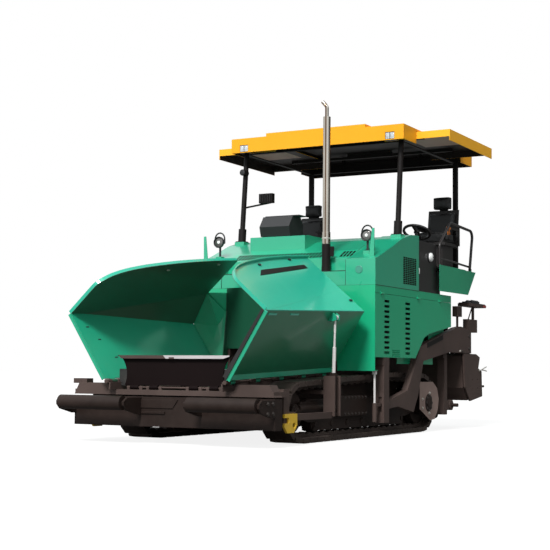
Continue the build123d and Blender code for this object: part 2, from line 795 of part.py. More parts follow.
# Hood: sloping middle with vent slots, and a corner box each side
hood_floor_z = deck_base_z + seat_gap
vent_plane = Plane(origin=(285, 0, 2190), x_dir=(0, 1, 0), z_dir=(110, 0, 200))
with BuildPart() as hood:
    side_plate(
        [
            (hood_core_front_x, hood_floor_z),
            (hood_core_front_x, 2135),
            (185, 2245),
            (-270, 2410),
            (-535, hood_top_z),
            (hood_rear_x, hood_top_z),
            (hood_rear_x, hood_floor_z),
        ],
        -hood_core_half,
        hood_core_half,
    )
    for side in (-1, 1):
        side_plate(
            [
                (body_front_x, hood_floor_z),
                (body_front_x, hood_box_top_z - 12),
                (490, hood_box_top_z),
                (130, 2253),
                (-270, 2413),
                (-535, 2480),
                (hood_rear_x, 2490),
                (hood_rear_x, hood_floor_z),
            ],
            side * (hood_core_half - 1),
            side * machine_half_width,
        )
        # seats for the canopy post and the headlamp, and the lamp's upright
        block(post_front_x - 70, post_front_x + 70, side * (post_y - 70), side * (post_y + 70), 2380, post_foot_z)
        block(headlamp_x - 60, headlamp_x + 20, side * (headlamp_y - 40), side * (headlamp_y + 40), 2150, lamp_seat_z)
        cross_plate([(side * 1121, 2100), (side * 1186, 2100), (side * 1191, 2469), (side * 1159, 2469)], 441, 449)
    # riser for the console
    side_plate([(60, 2280), (60, 2470), (-40, 2480), (-420, 2480), (-420, 2430), (-270, 2400)], -730, 60)
    block(hood_rear_x - 10, 360, -hood_core_half + 20, hood_core_half - 20, hood_floor_z - 1, 2050, mode=Mode.SUBTRACT)
    for columns, mid_y in vent_fields:
        slots(vent_plane.shift_origin((285, mid_y, 2190)), columns, 2, vent_pitch, vent_row_pitch,
              vent_width, vent_length, vent_depth)
    for side in (-1, 1):
        grille_plane = Plane(
            origin=((side_grille_front_x + side_grille_rear_x) / 2, side * machine_half_width,
                    (side_grille_low_z + side_grille_top_z) / 2),
            x_dir=(side, 0, 0),
            z_dir=(0, side, 0),
        )
        slots(grille_plane, 6, 15, (side_grille_front_x - side_grille_rear_x) / 6,
              (side_grille_top_z - side_grille_low_z) / 15, side_grille_cell, side_grille_slot, vent_depth)
save(hood.part, "hood")

# Platform: deck, cabinets and steering wheels
with BuildPart() as platform:
    block(deck_rear_x, hood_rear_x - 2, -deck_half, deck_half, deck_z - deck_plate, deck_z)
    block(panel_rear_x + 20, hood_rear_x - 2, -1100, 1100, deck_base_z + seat_gap, deck_z - deck_plate + 1)
    for side in (-1, 1):
        for x in (-2150, -1650):
            block(x - 30, x + 30, side * 640, side * (deck_half - 1), deck_z - 1, station_floor_z - 22 - seat_gap)
        block(cabinet_rear_x + 110, cabinet_front_x, side * 860, side * (machine_half_width - 4), deck_base_z + seat_gap, cabinet_top_z)
        # steering column and wheel
        rod((-1340, side * 945, 2400), (-1440, side * 945, 2610), 22)
        wheel_plane = Plane(origin=(-1440, side * 945, 2610), z_dir=(-0.43, 0, 0.9))
        with BuildSketch(wheel_plane, mode=Mode.PRIVATE) as rim:
            Circle(190)
            Circle(158, mode=Mode.SUBTRACT)
            Rectangle(330, 26)
            Circle(40)
        extrude(rim.sketch, amount=22)
save(platform.part, "platform")

# Centre console
with BuildPart() as console:
    side_plate(
        [(20, 2480 + seat_gap), (60, 2600), (-40, 2740), (-260, 2740), (-330, 2640), (-330, 2480 + seat_gap)],
        -600,
        -170,
    )
save(console.part, "console")

# Canopy posts with their cross tubes and work lamps
with BuildPart() as canopy_posts:
    for side in (-1, 1):
        y = side * post_y
        block(post_front_x - 62, post_front_x + 62, y - 62, y + 62, post_foot_z, post_foot_z + 12)
        rod((post_front_x, y, post_foot_z + 8), (post_front_x - 13, y, post_foot_z + 175), 52)
        rod((post_front_x, y, post_foot_z + 40), (post_front_x - post_lean, y, canopy_low_z + 20), post_r)
        block(post_rear_x - 30, post_rear_x + 30, y - 30, y + 30, deck_z + 0.5, canopy_low_z + 20)
        block(post_rear_x - 30, post_front_x - post_lean, y - 25, y + 25, canopy_low_z - 2, canopy_low_z + 12)
    for x in (post_front_x - post_lean, post_rear_x):
        block(x - 25, x + 25, -post_y, post_y, canopy_low_z - 2, canopy_low_z + 12)
        for y in (-600, 600):
            block(x - 20, x + 20, y - 20, y + 20, canopy_low_z + 11, canopy_top_z - canopy_sheet)
    # lamp on the arm of the far front post
    rod((post_front_x - 40, -post_y, 2935), (post_front_x - 20, -690, 2985), 12)
    block(post_front_x - 30, post_front_x + 40, -850, -650, 2975, 3100)
    rod((post_front_x - 95, -post_y, 3410), (post_front_x + 10, -post_y, 3410), 42)
save(canopy_posts.part, "canopy_posts")

# Canopy roof: a shallow tray open below, with side openings for the sliding wings
with BuildPart() as canopy_roof:
    block(canopy_rear_x, canopy_front_x, -canopy_half, canopy_half, canopy_low_z, canopy_top_z)
    block(canopy_rear_x + canopy_sheet, canopy_front_x - canopy_sheet, -canopy_half + canopy_sheet,
          canopy_half - canopy_sheet, canopy_low_z - 1, canopy_top_z - canopy_sheet, mode=Mode.SUBTRACT)
    block(canopy_rear_x + 300, canopy_front_x, -canopy_crown_half, canopy_crown_half, canopy_top_z - 1, canopy_crown_z)
    for side in (-1, 1):
        block(canopy_wing_rear_x - 8, canopy_wing_front_x + 8, side * (canopy_half - 20), side * (canopy_half + 1),
              canopy_low_z - 1, canopy_wing_top_z + 8, mode=Mode.SUBTRACT)
        # lamp housing in the front corner
        block(canopy_front_x - 90, canopy_front_x - 1, side * 980, side * 1130, canopy_low_z, canopy_low_z + 110)
        block(canopy_front_x - 10, canopy_front_x + 1, side * 992, side * 1118, canopy_low_z + 10, canopy_low_z + 100,
              mode=Mode.SUBTRACT)
    # guide rails for the wings
    for x in (-1000, -2000):
        block(x - 20, x + 20, -canopy_half + 12, canopy_half - 12, canopy_wing_top_z - 45, canopy_wing_top_z - canopy_sheet - seat_gap)
        block(x - 20, x + 20, -340, 340, canopy_wing_top_z - 10, canopy_top_z - 1)
save(canopy_roof.part, "canopy_roof")

with BuildPart() as canopy_wing_left:
    block(canopy_wing_rear_x, canopy_wing_front_x, canopy_wing_in_y, canopy_wing_y, canopy_wing_top_z - canopy_sheet, canopy_wing_top_z)
    block(canopy_wing_rear_x, canopy_wing_front_x, canopy_wing_y - canopy_sheet, canopy_wing_y, canopy_wing_low_z, canopy_wing_top_z)
    for x in (canopy_wing_rear_x, canopy_wing_front_x - canopy_sheet):
        block(x, x + canopy_sheet, canopy_wing_in_y, canopy_wing_y, canopy_wing_low_z + 50, canopy_wing_top_z)
save(canopy_wing_left.part, "canopy_wing_left")
with BuildPart() as canopy_wing_right:
    mirror(canopy_wing_left.part, about=Plane.XZ)
save(canopy_wing_right.part, "canopy_wing_right")

# Exhaust pipe with a curved tip, and its guard
with BuildPart() as exhaust_pipe:
    rod((exhaust_x, exhaust_y, exhaust_low_z), (exhaust_x, exhaust_y, exhaust_bend_z), exhaust_r)
    rod((exhaust_x, exhaust_y, 2306), (exhaust_x, exhaust_y, 2445), exhaust_r + 6)
    bent_tube(
        [
            (exhaust_x, exhaust_y, exhaust_bend_z - 2),
            (exhaust_x, exhaust_y, exhaust_top_z - 82),
            (exhaust_x - 8, exhaust_y - 62, exhaust_top_z - 15.6),
        ],
        50,
        spout_r,
    )
save(exhaust_pipe.part, "exhaust_pipe")
with BuildPart() as exhaust_guard:
    rod((exhaust_x, exhaust_y, sleeve_low_z), (exhaust_x, exhaust_y, sleeve_top_z), sleeve_r)
    block(hood_core_front_x + seat_gap, exhaust_x - 30, exhaust_y - 30, exhaust_y + 30, sleeve_low_z + 10, sleeve_low_z + 80)
    block(exhaust_x - 6, exhaust_x + 6, exhaust_y + 48, exhaust_y + 105, 2150, 2270)
    rod((exhaust_x, exhaust_y, sleeve_low_z - 1), (exhaust_x, exhaust_y, sleeve_top_z + 1),
        exhaust_r + seat_gap, mode=Mode.SUBTRACT)
save(exhaust_guard.part, "exhaust_guard")

# Headlamps on the hood
with BuildPart() as headlamps:
    rod((headlamp_x - 2, headlamp_y, headlamp_z), (headlamp_x + 24, headlamp_y, headlamp_z), headlamp_r)
    with Locations(Location((headlamp_x, headlamp_y, headlamp_z), (0, -90, 0))):
        Cone(headlamp_r - 4, 34, 62, align=(Align.CENTER, Align.CENTER, Align.MIN))
    rod((headlamp_x + 10, headlamp_y, headlamp_z), (headlamp_x + 25, headlamp_y, headlamp_z), headlamp_r - 9, mode=Mode.SUBTRACT)
    rod((headlamp_x - 20, headlamp_y, lamp_seat_z + 0.3), (headlamp_x - 20, headlamp_y, headlamp_z), 14)
    mirror(about=Plane.XZ)
save(headlamps.part, "headlamps")

# Tow hooks at the ends of the front cross member
with BuildPart() as tow_hooks:
    side_plate(
        [
            (2700, 335), (2430, 335), (2430, 215), (2500, 140), (2640, 140), (2700, 200),
            (2700, 240), (2610, 240), (2610, 295), (2700, 295),
        ],
        cross_beam_half,
        cross_beam_half + hook_plate,
    )
    rod((2500, cross_beam_half - 1, 215), (2500, cross_beam_half + hook_plate + 1, 215), hook_hole_r, mode=Mode.SUBTRACT)
    mirror(about=Plane.XZ)
save(tow_hooks.part, "tow_hooks")

# Push beam on its middle pivot, with brackets for the rollers
roller_x = front_end_x - push_roller_r
with BuildPart() as push_beam:
    block(beam_rear_x, beam_front_x, -push_half, push_half, push_low_z, push_top_z)
    block(pivot_x - 38, beam_rear_x + 1, -100, 100, 280, 390)
    rod((pivot_x, 0, 279), (pivot_x, 0, 391), pivot_pin_r + running_gap, mode=Mode.SUBTRACT)
    # nose plate and step bar on the front face
    cross_plate([(-477, 460), (94, 461), (33, 371), (-411, 372)], beam_front_x - 1, beam_front_x + 10)
    block(beam_front_x - 1, beam_front_x + 14, -358, -66, 312, 336)
    for y in (push_roller_in_y - 40, push_roller_out_y + 10):
        for side in (-1, 1):
            side_plate(
                [
                    (beam_front_x - 1, 300), (beam_front_x - 1, 480), (3200, 480), (3262, 440),
                    (3262, 400), (3210, 350), (beam_front_x + 60, 300),
                ],
                side * y,
                side * (y + 25),
            )
            rod((roller_x, side * (y - 1), push_roller_z), (roller_x, side * (y + 26), push_roller_z),
                push_axle_r + running_gap, mode=Mode.SUBTRACT)
save(push_beam.part, "push_beam")
with BuildPart() as push_roller_left:
    rod((roller_x, push_roller_in_y, push_roller_z), (roller_x, push_roller_out_y, push_roller_z), push_roller_r)
    rod((roller_x, push_roller_in_y - 38, push_roller_z), (roller_x, push_roller_out_y + 33, push_roller_z), push_axle_r)
save(push_roller_left.part, "push_roller_left")
with BuildPart() as push_roller_right:
    mirror(push_roller_left.part, about=Plane.XZ)
save(push_roller_right.part, "push_roller_right")

# Front apron, hinged at its foot
with BuildPart() as front_apron:
    with BuildSketch(Plane.YZ.offset(apron_x), mode=Mode.PRIVATE) as apron_face:
        with BuildLine():
            Line((-apron_half_top, apron_top_z), (apron_half_top, apron_top_z))
            ThreePointArc((apron_half_top, apron_top_z), (apron_half_waist, 760), (apron_half_waist + 25, apron_low_z))
            Line((apron_half_waist + 25, apron_low_z), (-apron_half_waist - 25, apron_low_z))
            ThreePointArc((-apron_half_waist - 25, apron_low_z), (-apron_half_waist, 760), (-apron_half_top, apron_top_z))
        make_face()
    extrude(apron_face.sketch, amount=apron_plate)
    block(apron_x, apron_x + 45, -apron_half_top, apron_half_top, apron_top_z - 10, apron_top_z)
    # knuckles on the foot
    for y in (-500, -250, 250, 500):
        rod((apron_pin_x, y - 50, apron_hinge_z), (apron_pin_x, y + 50, apron_hinge_z), apron_tube_r)
        rod((apron_pin_x, y - 51, apron_hinge_z), (apron_pin_x, y + 51, apron_hinge_z),
            apron_pin_r + running_gap, mode=Mode.SUBTRACT)
save(front_apron.part, "front_apron")

# Hopper wings, drawn square to the hinge line
lower_length = (fold_y ** 2 + fold_z ** 2) ** 0.5
lower_angle = degrees(atan2(fold_z, fold_y))
upper_edge = [
    (0, 400), (4, 440), (16, 472), (35, 500), (62, 530), (100, 566), (148, 604), (200, 632),
    (260, 659), (325, 684), (400, 708), (500, 736), (623, 766), (780, 797), (950, 827), (1140, 858),
    (1360, 888), (1580, 914), (1820, 938), (2070, 958), (wing_length, 975),
]
with BuildPart() as wing_left:
    # lower plate
    with BuildSketch(wing_section):
        with Locations(Location((0, 0, 0), (0, 0, lower_angle))):
            with Locations((wing_edge_in, 0)):
                Rectangle(lower_length - wing_edge_in, wing_plate, align=(Align.MIN, Align.MAX))
    extrude(amount=-wing_length)
    # stiffening edge along the front
    with BuildSketch(wing_section):
        with Locations(Location((0, 0, 0), (0, 0, lower_angle))):
            with Locations((wing_edge_in + 6, 0)):
                Rectangle(lower_length - wing_edge_in - 6, flange, align=(Align.MIN, Align.MAX))
    extrude(amount=-wing_plate)
    # knuckles on the hinge pin
    for i in range(knuckle_count):
        station = knuckle_length * 1.5 + knuckle_step * i
        knuckle_plane = Plane(
            origin=wing_point(station - knuckle_length / 2, 0, 0), x_dir=(0, 1, 0), z_dir=axis_dir
        )
        with BuildSketch(knuckle_plane):
            Circle(hinge_tube_r)
            with Locations(Location((0, 0, 0), (0, 0, lower_angle))):
                with Locations((8, 0)):
                    Rectangle(wing_edge_in, wing_plate, align=(Align.MIN, Align.MAX))
            Circle(hinge_pin_r + running_gap, mode=Mode.SUBTRACT)
        extrude(amount=-knuckle_length)
    # upper panel in its own plane, leaning inwards from the fold
    fold_point = wing_section.from_local_coords((fold_y, fold_z, 0))
    lean = radians(upper_lean)
    up_dir = wing_section.from_local_coords((fold_y - cos(lean), fold_z + sin(lean), 0)) - fold_point
    upper_plane = Plane(origin=fold_point, x_dir=axis_dir * -1, z_dir=(axis_dir * -1).cross(up_dir))
    with BuildSketch(upper_plane):
        with BuildLine():
            Polyline((0, -6), *upper_edge, (wing_length, -6), close=True)
        make_face()
    extrude(amount=-wing_plate)
    # lip along the front and the top
    with BuildSketch(upper_plane.offset(-1)):
        with BuildLine():
            Polyline(
                (0, -6),
                *upper_edge,
                (wing_length, 975 - 1.2 * lip_width),
                *[(x + lip_width, y - 1.2 * lip_width) for x, y in upper_edge[-2::-1]],
                (lip_width, -6),
                close=True,
            )
        make_face()
    extrude(amount=flange - wing_plate + 1)
    # hem with an upright face along the lower edge
    with BuildSketch(wing_section):
        with BuildLine():
            Polyline(*hem_points, close=True)
        make_face()
    extrude(amount=-wing_length)
    # lining that fills the fold, wider towards the rear
    panel(
        [
            wing_point(60, fold_y + 1, fold_z - 3),
            wing_point(wing_length - 1, fold_y - 81, fold_z - 135),
            wing_point(wing_length - 1, fold_y - 290, fold_z + 250),
        ],
        6,
    )
    # ears for the cylinder's eye
    eye_plane = Plane(origin=wing_point(cyl_station, 0, 0), x_dir=(0, 1, 0), z_dir=axis_dir)
    for shift in (-48, 28):
        with BuildSketch(eye_plane.offset(shift)):
            with BuildLine():
                Polyline(
                    (fold_y - 70, fold_z - 116), (fold_y - 6, fold_z - 16),
                    (eye_y + 34, eye_z + 20), (eye_y + 34, eye_z - 30), (eye_y - 20, eye_z - 40), close=True,
                )
            make_face()
        extrude(amount=20)
save(wing_left.part, "wing_left")
with BuildPart() as wing_right:
    mirror(wing_left.part, about=Plane.XZ)
save(wing_right.part, "wing_right")

# Wing cylinders, standing in the hinge line's square plane
with BuildPart() as wing_barrel_left:
    rod(tuple(Vector(*cyl_foot) + cyl_along * 20), tuple(barrel_end), barrel_r)
    rod(tuple(Vector(*cyl_foot) - axis_dir * 45), tuple(Vector(*cyl_foot) + axis_dir * 45), cyl_foot_r)
    rod(tuple(Vector(*cyl_foot) - axis_dir * 46), tuple(Vector(*cyl_foot) + axis_dir * 46), cyl_pin_r + running_gap, mode=Mode.SUBTRACT)
    rod(tuple(Vector(*cyl_foot) + cyl_along * 30), tuple(barrel_end + cyl_along), wing_rod_r + running_gap, mode=Mode.SUBTRACT)
save(wing_barrel_left.part, "wing_barrel_left")
with BuildPart() as wing_barrel_right:
    mirror(wing_barrel_left.part, about=Plane.XZ)
save(wing_barrel_right.part, "wing_barrel_right")
with BuildPart() as wing_rod_left:
    rod(tuple(Vector(*cyl_foot) + cyl_along * wing_rod_low), tuple(Vector(*cyl_foot) + cyl_along * wing_rod_step), wing_rod_r)
    rod(tuple(Vector(*cyl_foot) + cyl_along * (wing_rod_step - 1)), tuple(Vector(*cyl_eye) - cyl_along * 20), wing_rod_thin_r)
    rod(tuple(Vector(*cyl_eye) - axis_dir * 27.7), tuple(Vector(*cyl_eye) + axis_dir * 27.7), 30)
save(wing_rod_left.part, "wing_rod_left")
with BuildPart() as wing_rod_right:
    mirror(wing_rod_left.part, about=Plane.XZ)
save(wing_rod_right.part, "wing_rod_right")

# Seat stations: floor, skirt, rail and seat frame, sliding sideways
with BuildPart() as seat_station_left:
    block(station_rear_x, station_front_x, station_in_y, skirt_y - 1, station_floor_z - 22, station_floor_z)
    side_plate(
        [
            (skirt_front_x, station_floor_z),
            (skirt_front_x, 1826),
            (skirt_rear_low_x, 1833),
            (skirt_rear_x, station_floor_z - 8),
        ],
        skirt_y - skirt_plate,
        skirt_y,
    )
    # rail
    rail_y = skirt_y - 22
    bent_tube(
        [
            (-1415, rail_y, station_floor_z - 1),
            (-1415, rail_y, 2440),
            (-1800, rail_y, 2765),
            (-2660, rail_y, 2730),
            (-2540, rail_y, station_floor_z + 10),
        ],
        90,
        19,
    )
    bent_tube([(-1415, rail_y, 2255), (-1950, rail_y, 2245), (-2540, rail_y, 2225)], 30, 14)
    block(-2560, -2520, rail_y - 12, skirt_y - 1, 2150, 2200)
    # seat frame and shell
    block(seat_x - 190, seat_x + 190, seat_y - 170, seat_y + 170, station_floor_z - 1, 2471)
    block(seat_x - 250, seat_x + 240, seat_y - 222, seat_y + 222, 2470, 2510)
    side_plate(
        [(seat_x - 205, 2500), (seat_x - 240, 2500), (seat_x - 305, 3000), (seat_x - 285, 3000)],
        seat_y - 220,
        seat_y + 220,
    )
    block(seat_x - 306, seat_x - 288, seat_y - 60, seat_y + 60, 2990, 3100)
    for side in (-1, 1):
        block(seat_x - 220, seat_x + 120, seat_y + side * 226, seat_y + side * 252, 2690, 2730)
        block(seat_x - 240, seat_x - 200, seat_y + side * 210, seat_y + side * 252, 2490, 2730)
save(seat_station_left.part, "seat_station_left")
with BuildPart() as seat_station_right:
    mirror(seat_station_left.part, about=Plane.XZ)
save(seat_station_right.part, "seat_station_right")
with BuildPart() as seat_cushions_left:
    block(seat_x - 180, seat_x + 250, seat_y - 208, seat_y + 208, 2510.3, seat_top_z)
    side_plate(
        [(seat_x - 140, 2648), (seat_x - 228.3, 2648), (seat_x - 279.8, 2970), (seat_x - 190, 2970)],
        seat_y - 205,
        seat_y + 205,
    )
    block(seat_x - 288 + seat_gap, seat_x - 195, seat_y - 130, seat_y + 130, 3005, 3180)
save(seat_cushions_left.part, "seat_cushions_left")
with BuildPart() as seat_cushions_right:
    mirror(seat_cushions_left.part, about=Plane.XZ)
save(seat_cushions_right.part, "seat_cushions_right")

# Tow point: clevis that slides in the post, with the barrel of its cylinder in front
slide_x0 = tow_post_rear_x + 12
slide_x1 = tow_post_front_x - 15 - slide_gap
with BuildPart() as tow_slides:
    block(slide_x0, slide_x1, tow_in_y + slide_gap, tow_out_y - 14 - slide_gap, tow_z - 110, tow_z + 110)
    block(slide_x0 - 1, tow_x + tow_eye_r + slide_gap, tow_link_y - 23, tow_link_y + 17, tow_z - 111, tow_z + 111, mode=Mode.SUBTRACT)
    rod((tow_x, tow_in_y + slide_gap, tow_z), (tow_x, tow_out_y - 14 - slide_gap, tow_z), tow_pin_r)
    block(slide_x1 - 1, tow_link_x, tow_link_y - 15, tow_link_y + 15, tow_z - 20, tow_z + 15)
    rod((tow_link_x, tow_link_y, tow_z - 200), (tow_link_x, tow_link_y, tow_z + 20), tow_barrel_r)
    rod((tow_link_x, tow_link_y, tow_z - 160), (tow_link_x, tow_link_y, tow_z + 21), tow_rod_r + running_gap, mode=Mode.SUBTRACT)
    mirror(about=Plane.XZ)
save(tow_slides.part, "tow_slides")
with BuildPart() as tow_rods:
    rod((tow_link_x, tow_link_y, tow_z - 80), (tow_link_x, tow_link_y, 745), tow_rod_r)
    block(tow_link_x - 24, tow_link_x + 24, tow_link_y - 20, tow_link_y + 20, 740, 780.5)
    mirror(about=Plane.XZ)
save(tow_rods.part, "tow_rods")

# Levelling arms, joined behind by the screed
with BuildPart() as screed_arms:
    side_plate(
        [
            (tow_post_rear_x - 15, 424),
            (-456, 545),
            (-874, 1095),
            (-2148, 1377),
            (-2323, 1397),
            (-2712, 1340),
            (-2712, screed_top_z + 0.5),
            (-2321, screed_top_z + 0.5),
            (-1885, 1040),
            (-973, 912),
            (-792, 477),
            (-647, 275),
            (-147, 355),
            (tow_post_rear_x - 15, 329),
        ],
        arm_inner_y,
        arm_inner_y + arm_plate,
    )
    block(tow_x, tow_post_rear_x - 16, tow_link_y - 18, tow_link_y + 12, tow_z - 34, tow_z + 30)
    rod((tow_x, tow_link_y - 18, tow_z), (tow_x, tow_link_y + 12, tow_z), tow_eye_r)
    rod((tow_x, tow_link_y - 19, tow_z), (tow_x, tow_link_y + 13, tow_z), tow_pin_r + running_gap, mode=Mode.SUBTRACT)
    block(-2700, -2420, 1080, arm_inner_y + 1, screed_top_z + 0.5, screed_top_z + 60)
    # remote console on its stalk
    block(-2960, -2600, 1156, 1234, 1330, 1510)
    rod((-2890, 1195, 1500), (-2890, 1195, 1690), 20)
    rod((-2700, 1195, 1505), (-2860, 1195, 1690), 8)
    block(-3200, -2520, 1110, 1280, 1688, 1728)
    rod((-2275, 1195, 1385), (-2275, 1195, 1540), 16)
    block(-2365, -2185, 1160, 1230, 1530, 1670)
    mirror(about=Plane.XZ)
save(screed_arms.part, "screed_arms")
with BuildPart() as screed:
    side_plate(
        [
            (screed_front_x, 1000),
            (screed_front_x - 40, 560),
            (screed_front_x - 190, 385),
            (screed_mid_x, 402),
            (screed_mid_x, 1000),
            (screed_mid_x + 60, screed_top_z),
            (screed_front_x - 50, screed_top_z),
        ],
        -screed_half,
        screed_half,
    )
    for side in (-1, 1):
        # ears for the lift cylinder's eye
        for y in (lift_y - 46, lift_y + 26):
            block(lift_eye_x - 60, lift_eye_x + 60, side * y, side * (y + 20), screed_top_z - 1, lift_eye_z + 50)
    # rails that the extensions run on
    for z in (guide_z, guide_z - 180):
        block(screed_mid_x - guide_depth, screed_mid_x + 1, -screed_half + 15, screed_half - 15, z - guide_r, z + guide_r)
save(screed.part, "screed")
with BuildPart() as screed_extension_left:
    side_plate(
        [
            (screed_mid_x - 20, 412),
            (screed_rear_x, 445),
            (screed_rear_x, 760),
            (screed_mid_x - 20, 820),
        ],
        20,
        screed_half + 16,
    )
    side_plate(
        [
            (-2395, 1028),
            (-2450, 570),
            (-2650, 375),
            (-3143, 435),
            (-3117, 788),
            (-2981, 829),
            (-3044, 984),
            (-2893, 1028),
        ],
        screed_half + 15,
        screed_half + 15 + end_plate_t,
    )
    block(rear_end_x, screed_rear_x + 1, 20, screed_half + 10, 560, 590)
    for z in (guide_z, guide_z - 180):
        block(screed_mid_x - guide_depth - seat_gap, screed_mid_x - 19, 19, screed_half + 12,
              z - guide_r - seat_gap, z + guide_r + seat_gap, mode=Mode.SUBTRACT)
    # four holes for a wider end plate
    for x in (-2950, -2750):
        for z in (550, 670):
            rod((x, screed_half + 14, z), (x, screed_half + 16 + end_plate_t, z), 11, mode=Mode.SUBTRACT)
save(screed_extension_left.part, "screed_extension_left")
with BuildPart() as screed_extension_right:
    mirror(screed_extension_left.part, about=Plane.XZ)
save(screed_extension_right.part, "screed_extension_right")

# Lift cylinders between the body and the screed
lift_along = (Vector(lift_eye_x, lift_y, lift_eye_z) - Vector(lift_x, lift_y, lift_z)).normalized()
lift_top = Vector(lift_x, lift_y, lift_z)
lift_eye = Vector(lift_eye_x, lift_y, lift_eye_z)
side_dir = Vector(0, 1, 0)
with BuildPart() as lift_barrels:
    rod(tuple(lift_top + lift_along * 25), tuple(lift_top + lift_along * lift_barrel_length), lift_barrel_r)
    rod(tuple(lift_top - side_dir * 43.7), tuple(lift_top + side_dir * 43.7), 42)
    rod(tuple(lift_top - side_dir * 45), tuple(lift_top + side_dir * 45), 20 + running_gap, mode=Mode.SUBTRACT)
    rod(tuple(lift_top + lift_along * 60), tuple(lift_top + lift_along * (lift_barrel_length + 1)), lift_rod_r + running_gap, mode=Mode.SUBTRACT)
    mirror(about=Plane.XZ)
save(lift_barrels.part, "lift_barrels")
with BuildPart() as lift_rods:
    rod(tuple(lift_top + lift_along * 160), tuple(lift_eye - lift_along * 15), lift_rod_r)
    rod(tuple(lift_eye - side_dir * 25.7), tuple(lift_eye + side_dir * 25.7), 30)
    mirror(about=Plane.XZ)
save(lift_rods.part, "lift_rods")

# Augers: shaft with half-ring blades set at a slant
with BuildPart() as auger_left:
    rod((auger_x, auger_in_y, auger_z), (auger_x, auger_out_y, auger_z), auger_shaft_r)
    rod((auger_x, auger_out_y, auger_z), (auger_x, auger_tip_y, auger_z), auger_stub_r)
    rod((auger_x, auger_tip_y, auger_z), (auger_x, auger_stub_y, auger_z), auger_tip_r)
    blade_step = (blade_out_y - blade_in_y - 2 * auger_r * sin(radians(blade_tilt))) / (blade_count - 1)
    for i in range(blade_count):
        y = blade_in_y + auger_r * sin(radians(blade_tilt)) + blade_step * i
        tilt = blade_tilt if i % 2 == 0 else -blade_tilt
        with BuildSketch(
            Plane(origin=(auger_x, y - blade_plate / 2, auger_z), x_dir=(1, 0, 0),
                  z_dir=(0, cos(radians(tilt)), sin(radians(tilt)))),
            mode=Mode.PRIVATE,
        ) as blade:
            Circle(auger_r)
            with Locations((auger_r + 1 if i % 2 == 0 else -auger_r - 1, 0)):
                Rectangle(2 * auger_r + 2, 2 * auger_r + 2, mode=Mode.SUBTRACT)
        extrude(blade.sketch, amount=blade_plate)
save(auger_left.part, "auger_left")
with BuildPart() as auger_right:
    mirror(auger_left.part, about=Plane.XZ)
save(auger_right.part, "auger_right")
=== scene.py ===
import bpy
import bmesh
import math
from mathutils import Matrix, Vector


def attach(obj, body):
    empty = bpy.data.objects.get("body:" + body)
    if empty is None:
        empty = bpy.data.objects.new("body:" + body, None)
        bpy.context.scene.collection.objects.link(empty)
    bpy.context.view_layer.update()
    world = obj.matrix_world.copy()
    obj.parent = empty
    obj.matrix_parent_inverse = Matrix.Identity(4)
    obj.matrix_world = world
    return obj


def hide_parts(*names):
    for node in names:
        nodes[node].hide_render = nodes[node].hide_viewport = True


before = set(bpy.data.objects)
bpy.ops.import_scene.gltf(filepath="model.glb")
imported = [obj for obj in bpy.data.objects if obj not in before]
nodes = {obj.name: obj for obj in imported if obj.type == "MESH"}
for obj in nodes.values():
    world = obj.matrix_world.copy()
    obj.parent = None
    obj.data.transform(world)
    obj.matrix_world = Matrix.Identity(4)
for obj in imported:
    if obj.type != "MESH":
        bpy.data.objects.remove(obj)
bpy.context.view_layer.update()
print("frame loaded:", len(nodes), "nodes")


# ways to add objects and to join nodes
def addObject(name, data):
    thing = bpy.data.objects.new(name, data)
    bpy.context.scene.collection.objects.link(thing)
    return thing


def evaluated(thing):
    return bpy.data.meshes.new_from_object(thing.evaluated_get(bpy.context.evaluated_depsgraph_get()))


def feed(tree, socket, value):
    if isinstance(value, bpy.types.NodeSocket):
        tree.links.new(value, socket)
    elif socket.type == "RGBA":
        socket.default_value = (*value, 1)
    else:
        socket.default_value = value


def node(tree, kind, **values):
    # a value goes to what the node calls by that name, or else to its input
    made = tree.nodes.new(kind)
    for key, value in values.items():
        if hasattr(made, key):
            setattr(made, key, value)
        else:
            feed(tree, made.inputs[key.replace("_", " ")], value)
    return made


def noise(tree, where, scale, detail, rough):
    return node(tree, "ShaderNodeTexNoise", Vector=where, Scale=scale, Detail=detail,
                Roughness=rough).outputs["Fac"]


def span(tree, value, low, high, toLow=0, toHigh=1):
    ends = {"From_Min": low, "From_Max": high, "To_Min": toLow, "To_Max": toHigh}
    return node(tree, "ShaderNodeMapRange", clamp=True, Value=value, **ends).outputs["Result"]


def times(tree, a, b, operation="MULTIPLY", kind="ShaderNodeMath"):
    made = node(tree, kind, operation=operation)
    feed(tree, made.inputs[0], a)
    feed(tree, made.inputs[1], b)
    return made


def product(tree, a, b, operation="MULTIPLY"):
    return times(tree, a, b, operation).outputs[0]


def dot(tree, a, b):
    return times(tree, a, b, "DOT_PRODUCT", "ShaderNodeVectorMath").outputs["Value"]


def blend(tree, share, a, b):
    made = node(tree, "ShaderNodeMix", data_type="RGBA")
    for index, value in ((0, share), (6, a), (7, b)):
        feed(tree, made.inputs[index], value)
    return made.outputs[2]


# camera, where the photograph was taken
cameraSettings = {
    "place": (13.8929, 7.3166, 0.783),
    "looking": (-0.87177, -0.48406, 0.07554),
    "roll": 0.52,            # degrees
    "focalPixels": 1251.46,  # for an image 550 pixels wide
    "imageWidth": 550,
    "sensorWidth": 36,
    "farthest": 400,
}


